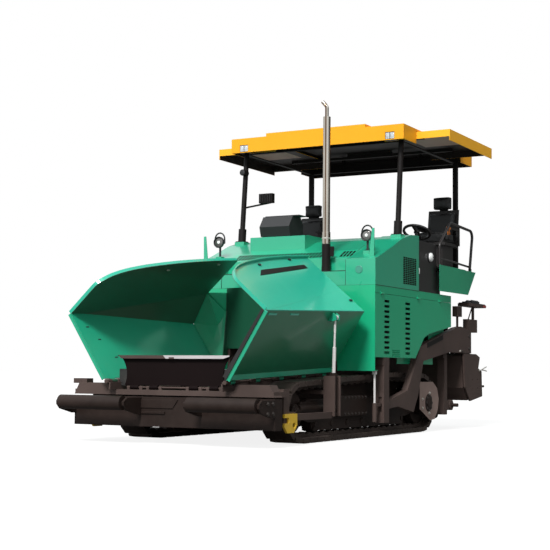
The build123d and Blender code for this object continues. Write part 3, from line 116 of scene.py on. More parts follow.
def makeCamera(settings):
    ahead = Vector(settings["looking"]).normalized()
    side = ahead.cross(Vector((0, 0, 1))).normalized()
    up = side.cross(ahead)
    turn = math.radians(settings["roll"])
    right = side * math.cos(turn) + up * math.sin(turn)
    top = up * math.cos(turn) - side * math.sin(turn)
    data = bpy.data.cameras.new("paverCamera")
    data.sensor_fit = "HORIZONTAL"
    data.sensor_width = settings["sensorWidth"]
    data.lens = settings["focalPixels"] / settings["imageWidth"] * settings["sensorWidth"]
    data.clip_end = settings["farthest"]
    camera = addObject("paverCamera", data)
    spot = Matrix((right, top, -ahead)).transposed().to_4x4()
    spot.translation = Vector(settings["place"])
    camera.matrix_world = spot
    bpy.context.scene.camera = camera


makeCamera(cameraSettings)

# light, floor and backdrop
studioSettings = {
    "sunStrength": 3.7,
    "sunFrom": (6.5, 1.0, 6.8),
    "sunSoftness": 14,              # degrees
    "skyTurn": (0.6, -0.3, 1.6),    # the sky is bright ahead and above, dark low behind
    "skySpan": (-0.25, 0.75),
    "skyDark": (0.10, 0.105, 0.10),
    "skyBright": (0.86, 0.92, 0.95),
    "floorColour": (0.15, 0.147, 0.143),
    "floorGlow": 0.86,
    "floorHalf": 160,
    "floorSink": 0.002,
}


def makeSun(settings):
    sun = bpy.data.lights.new("softSun", "SUN")
    sun.energy = settings["sunStrength"]
    sun.angle = math.radians(settings["sunSoftness"])
    lamp = addObject("softSun", sun)
    lamp.rotation_euler = Vector(settings["sunFrom"]).to_track_quat("Z", "Y").to_euler()


def makeSky(settings):
    # white where it is seen itself, and shaded where it lights the paver
    world = bpy.data.worlds.new("paleStudio")
    bpy.context.scene.world = world
    world.use_nodes = True
    tree = world.node_tree
    tree.nodes.clear()
    paths = node(tree, "ShaderNodeLightPath").outputs
    seen = product(tree, paths["Is Camera Ray"], paths["Is Transmission Ray"], "MAXIMUM")
    lean = dot(tree, node(tree, "ShaderNodeTexCoord").outputs["Generated"], settings["skyTurn"])
    low, high = settings["skySpan"]
    level = node(tree, "ShaderNodeMapRange", interpolation_type="SMOOTHSTEP",
                 Value=lean, From_Min=low, From_Max=high)
    tone = blend(tree, level.outputs["Result"], settings["skyDark"], settings["skyBright"])
    mix = node(tree, "ShaderNodeMixShader", Fac=seen)
    for index, colour in ((1, tone), (2, (1, 1, 1))):
        light = node(tree, "ShaderNodeBackground", Color=colour, Strength=1)
        tree.links.new(light.outputs[0], mix.inputs[index])
    node(tree, "ShaderNodeOutputWorld", Surface=mix.outputs[0])


def makeFloor(settings):
    half = settings["floorHalf"]
    mesh = bpy.data.meshes.new("paleFloor")
    corners = [(a * half, b * half, -settings["floorSink"]) for a, b in ((-1, -1), (1, -1), (1, 1), (-1, 1))]
    mesh.from_pydata(corners, [], [(0, 1, 2, 3)])
    material = bpy.data.materials.new("paleFloor")
    material.use_nodes = True
    tree = material.node_tree
    tree.nodes.clear()
    seen = node(tree, "ShaderNodeLightPath").outputs["Is Camera Ray"]
    matte = node(tree, "ShaderNodeBsdfDiffuse", Color=settings["floorColour"])
    glow = node(tree, "ShaderNodeEmission", Strength=product(tree, seen, settings["floorGlow"]))
    both = node(tree, "ShaderNodeAddShader")
    tree.links.new(matte.outputs[0], both.inputs[0])
    tree.links.new(glow.outputs[0], both.inputs[1])
    node(tree, "ShaderNodeOutputMaterial", Surface=both.outputs[0])
    mesh.materials.append(material)
    floor = addObject("paleFloor", mesh)


bpy.context.scene.view_settings.view_transform = "Standard"
makeSun(studioSettings)
makeSky(studioSettings)
makeFloor(studioSettings)
print("camera and studio ready")

# finishes
# what a finish is where its own row says nothing else
plainFinish = {
    "cloud": 1.6, "cloudDetail": (3, 0.55), "cloudSpan": (0.3, 0.7), "grain": 60, "grainDetail": (5, 0.6),
    "dust": 0, "dustTop": 1.0, "dustColour": (0.30, 0.25, 0.20), "dustRough": 0.4,
    "dustNoise": (7, 6, 0.65), "dustSpan": (0.42, 0.72),
    "wear": 0, "wearColour": (0.28, 0.27, 0.26), "edgeSpan": (0.985, 0.90), "rubSpan": (0.45, 0.62),
    "roughSpread": 0.08, "roughSpan": (0.25, 0.75), "specular": 0.5, "metal": 0, "coat": 0, "coatRough": 0.12,
    "bump": 0.05, "bumpDepth": 0.001, "ripple": 0, "rippleDetail": (2, 0.55), "rippleGrain": 0.2,
    "rounding": 0.004, "bevelSamples": 3, "patches": (),
}


def finish(name, colour, shade, rough, own):
    settings = {**plainFinish, **own}
    material = bpy.data.materials.new(name)
    material.use_nodes = True
    tree = material.node_tree
    where = node(tree, "ShaderNodeTexCoord").outputs["Object"]
    parts = node(tree, "ShaderNodeSeparateXYZ", Vector=where).outputs
    reach = (parts["X"], product(tree, parts["Y"], 0, "ABSOLUTE"), parts["Z"])
    broad = noise(tree, where, settings["cloud"], *settings["cloudDetail"])
    fine = noise(tree, where, settings["grain"], *settings["grainDetail"])
    darker = tuple(part * shade for part in colour)
    tint = blend(tree, span(tree, broad, *settings["cloudSpan"]), darker, colour)
    for patch in settings["patches"]:
        tint = blend(tree, within(tree, reach, patch), tint, patch["colour"])
    low = span(tree, parts["Z"], settings["dustTop"], 0)
    spots = span(tree, noise(tree, where, *settings["dustNoise"]), *settings["dustSpan"])
    film = product(tree, product(tree, low, spots), settings["dust"])
    tint = blend(tree, film, tint, settings["dustColour"])
    samples, radius = settings["bevelSamples"], settings["rounding"]
    bevel = node(tree, "ShaderNodeBevel", samples=samples, Radius=radius).outputs[0]
    if settings["wear"]:      # rubbed edges, where the rounded and the flat normal part
        plain = node(tree, "ShaderNodeNewGeometry").outputs["Normal"]
        edge = span(tree, dot(tree, bevel, plain), *settings["edgeSpan"])
        rub = product(tree, product(tree, edge, span(tree, fine, *settings["rubSpan"])), settings["wear"])
        tint = blend(tree, rub, tint, settings["wearColour"])
    spread = settings["roughSpread"]
    level = span(tree, broad, *settings["roughSpan"], rough - spread, rough + spread)
    relief = fine
    if settings["ripple"]:
        waves = noise(tree, where, settings["ripple"], *settings["rippleDetail"])
        relief = product(tree, waves, product(tree, fine, settings["rippleGrain"]), "ADD")
    bump = node(tree, "ShaderNodeBump", Height=relief, Normal=bevel,
                Strength=settings["bump"], Distance=settings["bumpDepth"])
    inputs = {
        "Base Color": tint,
        "Roughness": product(tree, level, product(tree, film, settings["dustRough"]), "ADD"),
        "Metallic": settings["metal"], "Specular IOR Level": settings["specular"],
        "Coat Weight": settings["coat"], "Coat Roughness": settings["coatRough"],
        "Normal": bump.outputs[0],
    }
    for label, value in inputs.items():
        feed(tree, tree.nodes["Principled BSDF"].inputs[label], value)
    return material


def within(tree, reach, patch):
    # 1 inside the patch's box and between two depths of each of its planes, with Y counted outwards
    share = 1
    for value, low, high in zip(reach, *patch.get("box", ((), ()))):
        off = product(tree, product(tree, value, (low + high) / 2, "SUBTRACT"), 0, "ABSOLUTE")
        share = product(tree, product(tree, off, (high - low) / 2, "LESS_THAN"), share)
    for spot, normal, low, high in patch.get("layers", ()):
        folded = node(tree, "ShaderNodeCombineXYZ", X=reach[0], Y=reach[1], Z=reach[2])
        depth = dot(tree, folded.outputs[0], normal)
        level = sum(a * b for a, b in zip(spot, normal))
        share = product(tree, share, product(tree, depth, level + low, "GREATER_THAN"))
        share = product(tree, share, product(tree, depth, level + high, "LESS_THAN"))
    return share


def stripes(plane, *rows):
    # rows: (from depth, to depth, colour)
    return [{"layers": [(*plane, low, high)], "colour": colour} for low, high, colour in rows]


# planes that patches are counted from: a spot on the face and the way it faces
hoodBand = ((0.285, 0, 2.19), (0.482, 0, 0.876))
upperPanel = ((3.099, 1.207, 1.3784), (0.02967, 0.66262, 0.74837))
lowerPlate = ((3.07, 0.738, 0.647), (-0.02137, 0.842, -0.53905))
exhaustAxis = ((0.45, 0.555, 0), (-0.485, 0.875, 0))

# rubbed and dusty iron of the frame and the drive guards
frameIron = {"wear": 0.3, "dust": 0.25, "dustTop": 1.1, "specular": 0.16,
             "wearColour": (0.09, 0.07, 0.06), "dustColour": (0.06, 0.045, 0.036)}

# finish: (colour, share of it in the darker clouds, roughness, what else it has)
finishes = {
    "greenPaint": ((0.010, 0.385, 0.185), 0.92, 0.34, {
        "coat": 0.55, "coatRough": 0.16, "specular": 0.3, "wear": 0.2, "wearColour": (0.04, 0.16, 0.10),
        "dust": 0.06, "dustTop": 1.3, "grain": 90,
        # painted shade: the hopper's back wall over the tunnel, and the corner facets where they reach into
        # this box, are painted dark green
        "patches": [{"box": ((0.5, 0, 0.9), (0.72, 0.735, 1.79)), "colour": (0.008, 0.075, 0.038)}]}),
    "hoodPaint": ((0.010, 0.375, 0.205), 0.92, 0.34, {
        "coat": 1.0, "coatRough": 0.16, "specular": 0.55, "grain": 90,
        "wear": 0.2, "wearColour": (0.04, 0.16, 0.10),
        # painted shade: the floors of the slots in the sloping band are painted near black, and the faces set
        # back behind the side grille are painted dark
        "patches": [{"box": ((0.187, 0, 2.0), (0.3845, 0.862, 2.3)), "layers": [(*hoodBand, -0.08, -0.0008)],
                     "colour": (0.003, 0.006, 0.005)},
                    {"box": ((-0.70, 1.2, 1.84), (-0.27, 1.2475, 2.2)), "colour": (0.008, 0.016, 0.012)}]}),
    "hopperGreen": ((0.012, 0.36, 0.20), 0.88, 0.36, {
        "coat": 0.6, "coatRough": 0.14, "specular": 0.35, "wear": 0.3, "wearColour": (0.06, 0.16, 0.11),
        "dust": 0.1, "dustTop": 1.2, "ripple": 3, "bumpDepth": 0.004,
        # painted light on the wings: the inner faces and the outer face of the lower plate are darker green
        # as painted shade, and the outer face of the upper panel is paler green as a painted highlight
        "patches": [{"layers": [(*upperPanel, -1, -0.005), (*lowerPlate, -1, -0.003)],
                     "colour": (0.040, 0.135, 0.078)},
                    *stripes(lowerPlate, (0.006, 0.012, (0.012, 0.20, 0.095))),
                    *stripes(upperPanel, (-0.004, 1, (0.018, 0.42, 0.275)))]}),
    "stationPaint": ((0.019, 0.015, 0.014), 0.8, 0.45, {
        "coat": 0.1, "wear": 0.3, "wearColour": (0.10, 0.09, 0.08),
        "patches": [{"box": ((-3, 1.2905, 1.7), (-1, 1.5, 2.175)), "colour": (0.016, 0.30, 0.15)}]}),
    "platformPaint": ((0.014, 0.012, 0.012), 0.8, 0.42, {
        "coat": 0.2, "wear": 0.2,
        "patches": [{"box": ((-2.6, 0, 2.12), (-0.78, 1.14, 2.14)), "colour": (0.035, 0.033, 0.031)}]}),
    "frameBlack": ((0.027, 0.0165, 0.0135), 0.65, 0.55, frameIron),
    "guardPaint": ((0.027, 0.0165, 0.0135), 0.65, 0.55, {
        **frameIron,
        # painted reflection: the drive guard's plate is painted pale tan, standing in for the floor's glow on
        # its satin paint
        "patches": [{"box": ((-1.74, 1.1425, 0.1), (-1.05, 1.16, 0.65)), "colour": (0.27, 0.19, 0.165)}]}),
    "darkPaint": ((0.010, 0.0075, 0.007), 0.8, 0.5, {
        "wear": 0.2, "dust": 0.05, "specular": 0.16, "wearColour": (0.06, 0.05, 0.045)}),
    "armPaint": ((0.088, 0.060, 0.052), 0.65, 0.55, {
        **frameIron, "wearColour": (0.13, 0.10, 0.09), "dustColour": (0.09, 0.068, 0.056)}),
    "apronPaint": ((0.009, 0.005, 0.005), 0.8, 0.6, {"specular": 0.06}),
    "trackIron": ((0.072, 0.050, 0.042), 0.5, 0.62, {
        "wear": 0.7, "metal": 0.2, "dust": 0.45, "rounding": 0.006, "specular": 0.35,
        "wearColour": (0.14, 0.11, 0.09), "dustColour": (0.07, 0.052, 0.042),
        "bump": 0.25, "bumpDepth": 0.003, "grain": 45}),
    "slatSteel": ((0.05, 0.045, 0.04), 0.6, 0.5, {"metal": 0.6, "wear": 0.6, "dust": 0.5, "bump": 0.2}),
    "canopyYellow": ((0.90, 0.385, 0.012), 0.95, 0.4, {
        "specular": 0.25, "wear": 0.15, "wearColour": (0.5, 0.3, 0.08),
        # painted shade: within this box the canopy roof is painted near black, standing in for the shade on
        # its underside
        "patches": [{"box": ((-2.7225, 0, 3.5), (-0.3075, 1.2375, 3.8425)),
                     "colour": (0.014, 0.011, 0.010)}]}),
    "wingYellow": ((0.98, 0.47, 0.025), 0.95, 0.4, {
        "specular": 0.25, "wear": 0.15, "wearColour": (0.5, 0.3, 0.08),
        # painted shade: the canopy wings' undersides are painted dark, with a paler strip towards the front
        # as painted bounce light from the floor
        "patches": [{"box": ((-2.2765, 0, 3.5), (-0.7225, 1.6865, 3.8065)), "colour": (0.030, 0.022, 0.019)},
                    {"box": ((-1.75, 0.95, 3.5), (-0.7225, 1.52, 3.8065)), "colour": (0.62, 0.42, 0.33)}]}),
    "hookYellow": ((0.80, 0.50, 0.03), 0.8, 0.42,
                   {"wear": 0.7, "wearColour": (0.1, 0.08, 0.06), "dust": 0.2}),
    "brightSteel": ((0.90, 0.85, 0.83), 0.9, 0.28, {"metal": 0.35, "bump": 0.02, "roughSpread": 0.05}),
    "exhaustSteel": ((0.66, 0.58, 0.49), 0.7, 0.2, {
        "metal": 1, "bump": 0.03, "cloud": 2.4,
        # painted light on the exhaust pipe: a pale upright stripe as a painted highlight, between two dark
        # brown stripes of painted shade
        "patches": stripes(exhaustAxis, (-0.022, -0.008, (0.16, 0.085, 0.05)),
                           (0.004, 0.024, (0.95, 0.86, 0.76)),
                           (0.036, 0.1, (0.22, 0.12, 0.07)))}),
    "blackPlastic": ((0.020, 0.020, 0.021), 0.8, 0.5, {
        "bump": 0.15, "bumpDepth": 0.0006, "grain": 320, "rounding": 0.003}),
    "blackRubber": ((0.014, 0.013, 0.013), 0.8, 0.72,
                    {"dust": 0.2, "bump": 0.2, "bumpDepth": 0.0006, "grain": 200}),
    "boltSteel": ((0.050, 0.040, 0.036), 0.7, 0.5, {"metal": 0.4, "dust": 0.1, "rounding": 0.0015}),
    "zincSteel": ((0.72, 0.68, 0.62), 0.85, 0.32, {"metal": 0.7, "rounding": 0.0015}),
    "emblemGreen": ((0.050, 0.29, 0.205), 0.9, 0.4, {"coat": 0.3, "rounding": 0.002}),
    # painted highlight: a paler copy of the wings' green, for the bead along the fold and the tabs below it
    "foldHighlightGreen": ((0.06, 0.58, 0.41), 0.92, 0.34, {"coat": 0.6, "coatRough": 0.14, "rounding": 0.002}),
    # painted highlight: pale metal for the left part of the apron's lip
    "lipHighlightSteel": ((0.60, 0.55, 0.55), 0.85, 0.42, {"metal": 0.35, "rounding": 0.001}),
    "brownSteel": ((0.085, 0.052, 0.045), 0.7, 0.5, {"metal": 0.3, "rounding": 0.001}),
    "seatVinyl": ((0.016, 0.015, 0.015), 0.8, 0.52, {
        "bump": 0.35, "bumpDepth": 0.0008, "grain": 260, "rounding": 0.003}),
    "lampGlass": ((0.85, 0.87, 0.88), 0.9, 0.08, {"metal": 0.85, "coat": 1.0, "ripple": 240, "bump": 0.4}),
    "lampGlow": ((0.95, 0.93, 0.90), 0.95, 0.2, {}),
    "dimGlass": ((0.25, 0.235, 0.225), 0.7, 0.12, {"metal": 0.7, "coat": 0.3, "ripple": 240, "bump": 0.4}),
    "plateBlank": ((0.007, 0.006, 0.006), 0.85, 0.5, {"bump": 0.02, "specular": 0.15}),
    "whiteEnamel": ((0.80, 0.80, 0.78), 0.95, 0.3, {"coat": 0.6}),
    "redEnamel": ((0.45, 0.02, 0.02), 0.9, 0.35, {"coat": 0.5}),
    "orangeEnamel": ((0.75, 0.22, 0.03), 0.9, 0.35, {"coat": 0.5}),
    "engineIron": ((0.05, 0.05, 0.05), 0.6, 0.6, {"dust": 0.2}),
}
paints = {name: finish(name, *row) for name, row in finishes.items()}

nodeFinish = {
    "greenPaint": "body_shell side_door_left side_door_right",
    "hoodPaint": "hood",
    "hopperGreen": "wing_left wing_right",
    "stationPaint": "seat_station_left seat_station_right",
    "canopyYellow": "canopy_roof",
    "wingYellow": "canopy_wing_left canopy_wing_right",
    "guardPaint": "undercarriage_left undercarriage_right",
    "darkPaint": "exhaust_guard canopy_posts",
    "apronPaint": "front_apron",
    "armPaint": "main_frame screed_arms screed screed_extension_left screed_extension_right tow_slides",
    "frameBlack": "push_beam push_roller_left push_roller_right auger_left auger_right "
                  "wing_barrel_left wing_barrel_right lift_barrels",
    "trackIron": "track_left track_right",
    "slatSteel": "slat_conveyor",
    "hookYellow": "tow_hooks",
    "brightSteel": "wing_rod_left wing_rod_right lift_rods tow_rods",
    "exhaustSteel": "exhaust_pipe",
    "blackPlastic": "console headlamps",
    "platformPaint": "platform",
    "seatVinyl": "seat_cushions_left seat_cushions_right",
    "engineIron": "engine_block",
}
for finishName, names in nodeFinish.items():
    for name in names.split():
        mesh = nodes[name].data
        mesh.materials.clear()
        mesh.materials.append(paints[finishName])
print("finishes ready:", len(paints))


# ways to make pieces
def place(name, mesh, body, finishName):
    piece = addObject(name, mesh)
    if finishName:
        mesh.materials.clear()
        mesh.materials.append(paints[finishName])
    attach(piece, body)


def meshOf(name, shape):
    bmesh.ops.remove_doubles(shape, verts=shape.verts, dist=1e-6)
    bmesh.ops.recalc_face_normals(shape, faces=shape.faces)
    mesh = bpy.data.meshes.new(name)
    shape.to_mesh(mesh)
    shape.free()
    return mesh


def addBox(shape, low, high, rounding=0.0, turn=None):
    lump = bmesh.new()
    bmesh.ops.create_cube(lump, size=1)
    size = [high[i] - low[i] for i in range(3)]
    bmesh.ops.scale(lump, vec=size, verts=lump.verts)
    if rounding:
        bmesh.ops.bevel(lump, geom=lump.edges[:], offset=rounding, segments=2, affect="EDGES", profile=0.6)
    if turn is not None:
        bmesh.ops.rotate(lump, cent=(0, 0, 0), matrix=turn, verts=lump.verts)
    middle = [(high[i] + low[i]) / 2 for i in range(3)]
    bmesh.ops.translate(lump, vec=middle, verts=lump.verts)
    merge(shape, lump)


def merge(shape, lump):
    bmesh.ops.recalc_face_normals(lump, faces=lump.faces)
    mesh = bpy.data.meshes.new("lump")
    lump.to_mesh(mesh)
    lump.free()
    shape.from_mesh(mesh)
    bpy.data.meshes.remove(mesh)


def circle(lump, radius, sides, reach):
    turns = [2 * math.pi * i / sides for i in range(sides)]
    return [lump.verts.new((radius * math.cos(turn), radius * math.sin(turn), reach)) for turn in turns]


def settle(shape, lump, start, along):
    # from upright at the origin to its place in the shape
    turn = Vector(along).normalized().to_track_quat("Z", "Y").to_matrix()
    bmesh.ops.rotate(lump, cent=(0, 0, 0), matrix=turn, verts=lump.verts)
    bmesh.ops.translate(lump, vec=start, verts=lump.verts)
    merge(shape, lump)


def addLathe(shape, start, along, profile, sides):
    # profile: (distance along, radius) from one end to the other
    lump = bmesh.new()
    rings = []
    for reach, radius in profile:
        rings.append(circle(lump, radius, sides, reach) if radius else [lump.verts.new((0, 0, reach))])
    for a, b in zip(rings, rings[1:]):
        for i in range(sides):
            j = (i + 1) % sides
            if len(a) == 1:
                lump.faces.new((a[0], b[i], b[j]))
            elif len(b) == 1:
                lump.faces.new((a[i], b[0], a[j]))
            else:
                lump.faces.new((a[i], b[i], b[j], a[j]))
    for ring in (rings[0], rings[-1]):
        if len(ring) > 1:
            lump.faces.new(ring)
    settle(shape, lump, start, along)


def addRing(shape, centre, along, major, minor, sides=28, tubeSides=8):
    lump = bmesh.new()
    rings = []
    for k in range(tubeSides):
        turn = 2 * math.pi * k / tubeSides
        rings.append(circle(lump, major + minor * math.cos(turn), sides, minor * math.sin(turn)))
    for a, b in zip(rings, rings[1:] + rings[:1]):
        for i in range(sides):
            j = (i + 1) % sides
            lump.faces.new((a[i], b[i], b[j], a[j]))
    settle(shape, lump, centre, along)


def addSheet(shape, corners, lift):
    face = shape.faces.new([shape.verts.new(corner) for corner in corners])
    grown = bmesh.ops.extrude_face_region(shape, geom=[face])
    lifted = [piece for piece in grown["geom"] if isinstance(piece, bmesh.types.BMVert)]
    bmesh.ops.translate(shape, vec=lift, verts=lifted)


def mirrored(shape):
    copy = shape.copy()
    bmesh.ops.scale(copy, vec=(1, -1, 1), verts=copy.verts)
    merge(shape, copy)


def pipeMesh(name, lines, radius):
    curve = bpy.data.curves.new(name, "CURVE")
    curve.dimensions = "3D"
    curve.bevel_depth = radius
    curve.bevel_resolution = 4
    curve.use_fill_caps = True
    for points in lines:
        spline = curve.splines.new("NURBS")
        spline.points.add(len(points) - 1)
        for i, point in enumerate(points):
            spline.points[i].co = (*point, 1)
        spline.order_u = 3
        spline.use_endpoint_u = True
        spline.resolution_u = 6
    holder = addObject(name, curve)
    mesh = evaluated(holder)
    bpy.data.objects.remove(holder)
    for face in mesh.polygons:
        face.use_smooth = True
    return mesh


# bolts: hex heads on washers, spread by a node tree
boltSettings = {"headRadius": 0.015, "headHeight": 0.011, "washerRadius": 0.02, "washerHeight": 0.003}


def boltTree(settings):
    tree = bpy.data.node_groups.new("hexBolts", "GeometryNodeTree")
    tree.interface.new_socket("Geometry", in_out="INPUT", socket_type="NodeSocketGeometry")
    for label, value in settings.items():
        socket = tree.interface.new_socket(label, in_out="INPUT", socket_type="NodeSocketFloat")
        socket.default_value = value
    tree.interface.new_socket("Geometry", in_out="OUTPUT", socket_type="NodeSocketGeometry")
    enter = node(tree, "NodeGroupInput").outputs
    join = node(tree, "GeometryNodeJoinGeometry")
    for sides, radius, tall in ((6, "headRadius", "headHeight"), (14, "washerRadius", "washerHeight")):
        disc = node(tree, "GeometryNodeMeshCylinder", Vertices=sides, Radius=enter[radius], Depth=enter[tall])
        lift = node(tree, "ShaderNodeCombineXYZ", Z=product(tree, enter[tall], 0.5))
        moved = node(tree, "GeometryNodeTransform", Geometry=disc.outputs["Mesh"],
                     Translation=lift.outputs[0])
        tree.links.new(moved.outputs[0], join.inputs[0])
    facing = node(tree, "GeometryNodeInputNamedAttribute", data_type="FLOAT_VECTOR", Name="facing")
    turn = node(tree, "FunctionNodeAlignRotationToVector", axis="Z", Vector=facing.outputs["Attribute"])
    spread = node(tree, "GeometryNodeInstanceOnPoints", Points=enter["Geometry"], Instance=join.outputs[0],
                  Rotation=turn.outputs[0])
    real = node(tree, "GeometryNodeRealizeInstances", Geometry=spread.outputs[0])
    paint = node(tree, "GeometryNodeSetMaterial", Geometry=real.outputs[0], Material=paints["boltSteel"])
    node(tree, "NodeGroupOutput", Geometry=paint.outputs[0])
    return tree


hexBolts = boltTree(boltSettings)


def bolts(name, body, spots, size):
    # spots on the left side; the heads face outwards, there and mirrored on the right
    mesh = bpy.data.meshes.new(name + "Spots")
    mesh.from_pydata(spots + [(x, -y, z) for x, y, z in spots], [], [])
    facing = mesh.attributes.new("facing", "FLOAT_VECTOR", "POINT")
    for i, vertex in enumerate(mesh.vertices):
        facing.data[i].vector = (0, math.copysign(1, vertex.co.y), 0)
    holder = addObject(name + "Spots", mesh)
    modifier = holder.modifiers.new("hexBolts", "NODES")
    modifier.node_group = hexBolts
    for item in hexBolts.interface.items_tree:
        if item.in_out == "INPUT" and item.socket_type == "NodeSocketFloat":
            modifier[item.identifier] = item.default_value * size
    baked = evaluated(holder)
    bpy.data.objects.remove(holder)
    baked.name = name
    place(name, baked, body, None)


# seat cushions, swollen by a cloth run
cushionSettings = {"voxel": 0.012, "pressure": 4, "frames": 20, "cap": 0.018, "shrink": 0.012}


def cushion(name, source, body, settings):
    copy = addObject(name, nodes[source].data.copy())
    shape = bmesh.new()
    shape.from_mesh(copy.data)
    bmesh.ops.remove_doubles(shape, verts=shape.verts, dist=1e-5)
    shape.to_mesh(copy.data)
    shape.free()
    copy.data.materials.clear()
    pull = copy.modifiers.new("pull", "DISPLACE")
    pull.strength = -settings["shrink"]
    pull.mid_level = 0
    grid = copy.modifiers.new("grid", "REMESH")
    grid.mode = "VOXEL"
    grid.voxel_size = settings["voxel"]
    mesh = evaluated(copy)
    bpy.data.objects.remove(copy)
    piece = addObject(name, mesh)
    piece = swollen(name, piece, settings)
    smooth = piece.modifiers.new("smooth", "SUBSURF")
    smooth.levels = 1
    smooth.render_levels = 1
    piece.data.materials.append(paints["seatVinyl"])
    for face in piece.data.polygons:
        face.use_smooth = True
    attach(piece, body)
    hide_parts(source)


def swollen(name, piece, settings):
    rest = [vertex.co.copy() for vertex in piece.data.vertices]
    cloth = piece.modifiers.new("swell", "CLOTH")
    cloth.settings.use_pressure = True
    cloth.settings.uniform_pressure_force = settings["pressure"]
    cloth.settings.effector_weights.gravity = 0
    cloth.point_cache.frame_end = settings["frames"]
    scene = bpy.context.scene
    for step in range(1, settings["frames"] + 1):
        scene.frame_set(step)
    mesh = evaluated(piece)
    for vertex, start in zip(mesh.vertices, rest):
        move = vertex.co - start
        if move.length > settings["cap"]:
            vertex.co = start + move.normalized() * settings["cap"]
    scene.frame_set(1)
    bpy.data.objects.remove(piece)
    return addObject(name, mesh)


for side in ("left", "right"):
    cushion("seatPads_" + side, "seat_cushions_" + side, "seat_station_" + side, cushionSettings)
print("cushions ready")


# small parts that stand at set places
# boxes: (low corner, high corner, rounding, turn); turned: (start, along, (distance, radius) pairs, sides)
# rings: (middle, along, radius, thickness, sides, tube sides); sheets: (corners, thickness as a vector)
# middleBoxes: boxes that aren't mirrored; on: (body, finish, slot)
# sides: "both" for one piece that stands on either side, "each" for a left and a right piece
forward, outward, upward = (1, 0, 0), (0, 1, 0), (0, 0, 1)


def makeShape(piece):
    shape = bmesh.new()
    for key, add in (("boxes", addBox), ("turned", addLathe), ("rings", addRing), ("sheets", addSheet)):
        for row in piece.get(key, ()):
            add(shape, *row)
    if piece.get("sides") == "both":
        mirrored(shape)
    for box in piece.get("middleBoxes", ()):
        addBox(shape, *box)
    return shape


def put(name, shape, body, finishName, slotName, sign=1):
    if sign < 0:
        bmesh.ops.scale(shape, vec=(1, sign, 1), verts=shape.verts)
    place(name, meshOf(name, shape), body, finishName)


def build(pieces):
    for name, piece in pieces.items():
        body, *looks = piece["on"]
        if piece.get("sides") == "each":
            for side, sign in (("left", 1), ("right", -1)):
                put(name + "_" + side, makeShape(piece), body + "_" + side, *looks, sign)
        else:
            put(name, makeShape(piece), body, *looks)


# headlamps, canopy lamps and the two work lamps, which face the seats and show their backs from in front
build({
    "headlampGlass": {
        "on": ("tractor", "dimGlass", "chrome"), "sides": "both",
        "turned": [((0.3305, 1.036, 2.4), forward,
                    ((0, 0.0615), (0.003, 0.0615), (0.008, 0.0492), (0.011, 0.02583), (0.0118, 0)), 32)]},
    "headlampBulbs": {
        "on": ("tractor", "lampGlow", "chrome"), "sides": "both",
        "turned": [((0.341, 1.036, 2.4), forward,
                    ((0, 0.021), (0.004, 0.019), (0.006, 0.008), (0.0065, 0)), 18)]},
    "headlampRings": {
        "on": ("tractor", "blackPlastic", "plastic"), "sides": "both",
        "rings": [((0.3445, 1.036, 2.4), forward, 0.067, 0.0065, 36)],
        "turned": [((0.2665, 1.036, 2.4), (-1, 0, 0),
                    ((0, 0.03), (0.012, 0.03), (0.016, 0.02), (0.03, 0.018), (0.032, 0)), 16)],
        "boxes": [((0.3005, y - 0.006, 2.38), (0.3245, y + 0.006, 2.42), 0.003) for y in (0.97, 1.102)]},
    "canopyLampGlass": {
        "on": ("tractor", "lampGlass", "chrome"), "sides": "both",
        "boxes": [((-0.31, 0.996, 3.674), (-0.304, 1.114, 3.756), 0.002)],
        "turned": [((-0.306, y, 3.715), forward,
                    ((0, 0.027), (0.002, 0.026), (0.004, 0.012), (0.0045, 0)), 20) for y in (1.026, 1.084)]},
    "canopyLampFrames": {
        "on": ("tractor", "blackPlastic", "plastic"), "sides": "both",
        "boxes": [((-0.31, 1.051, 3.674), (-0.302, 1.059, 3.756), 0.001),
                  ((-0.31, 0.993, 3.672), (-0.301, 1.117, 3.676), 0.001),
                  ((-0.31, 0.993, 3.754), (-0.301, 1.117, 3.758), 0.001)]},
    "workLampGlass": {
        "on": ("tractor", "lampGlass", "chrome"),
        "boxes": [((-0.4285, -0.84, 2.985), (-0.423, -0.66, 3.09), 0.002)]},
    "workLampRibs": {
        "on": ("tractor", "blackPlastic", "plastic"),
        "boxes": [*[((-0.357, y, 2.99), (-0.344, y + 0.006, 3.088), 0.001)
                    for y in (-0.82, -0.786, -0.752, -0.718, -0.684)],
                  ((-0.406, -0.852, 3.015), (-0.376, -0.84, 3.055), 0.002)],
        "turned": [((-0.387, -1.125, 3.41), forward,
                    ((0, 0.036), (0.004, 0.034), (0.007, 0.02), (0.008, 0)), 20)]},
    "emblemDisc": {
        "on": ("tractor", "emblemGreen", "paint"),
        "turned": [((0.545, 1.038, 1.975), forward,
                    ((0, 0.047), (0.004, 0.047), (0.006, 0.04371), (0.006, 0.0376), (0.004, 0.03619),
                     (0.004, 0)), 40)]},
})

# places on the hopper wings, and their blank plates
# the left wing's hinge line, and the fold and lean of its upper panel in degrees
wingSettings = {"front": 3.07, "hinge": 0.738, "low": 0.647, "slope": 2.27, "foldOut": 0.469,
                "foldUp": 0.732, "lean": 41.5}


def slopeSpot(along, y, z, settings=wingSettings):
    # a place by the left wing's hinge: metres along it, out from it and above it
    slope = math.radians(settings["slope"])
    level, rise = math.cos(slope), math.sin(slope)
    x = settings["front"] - along * level + z * rise
    return Vector((x, settings["hinge"] + y, settings["low"] + along * rise + z * level))


def wingSpot(along, up, out, settings=wingSettings):
    # a place on the left wing's upper panel: metres along the hinge, up from the fold, out of the face
    lean = math.radians(settings["lean"])
    y = settings["foldOut"] - up * math.cos(lean) + out * math.sin(lean)
    z = settings["foldUp"] + up * math.sin(lean) + out * math.cos(lean)
    return slopeSpot(along, y, z, settings)


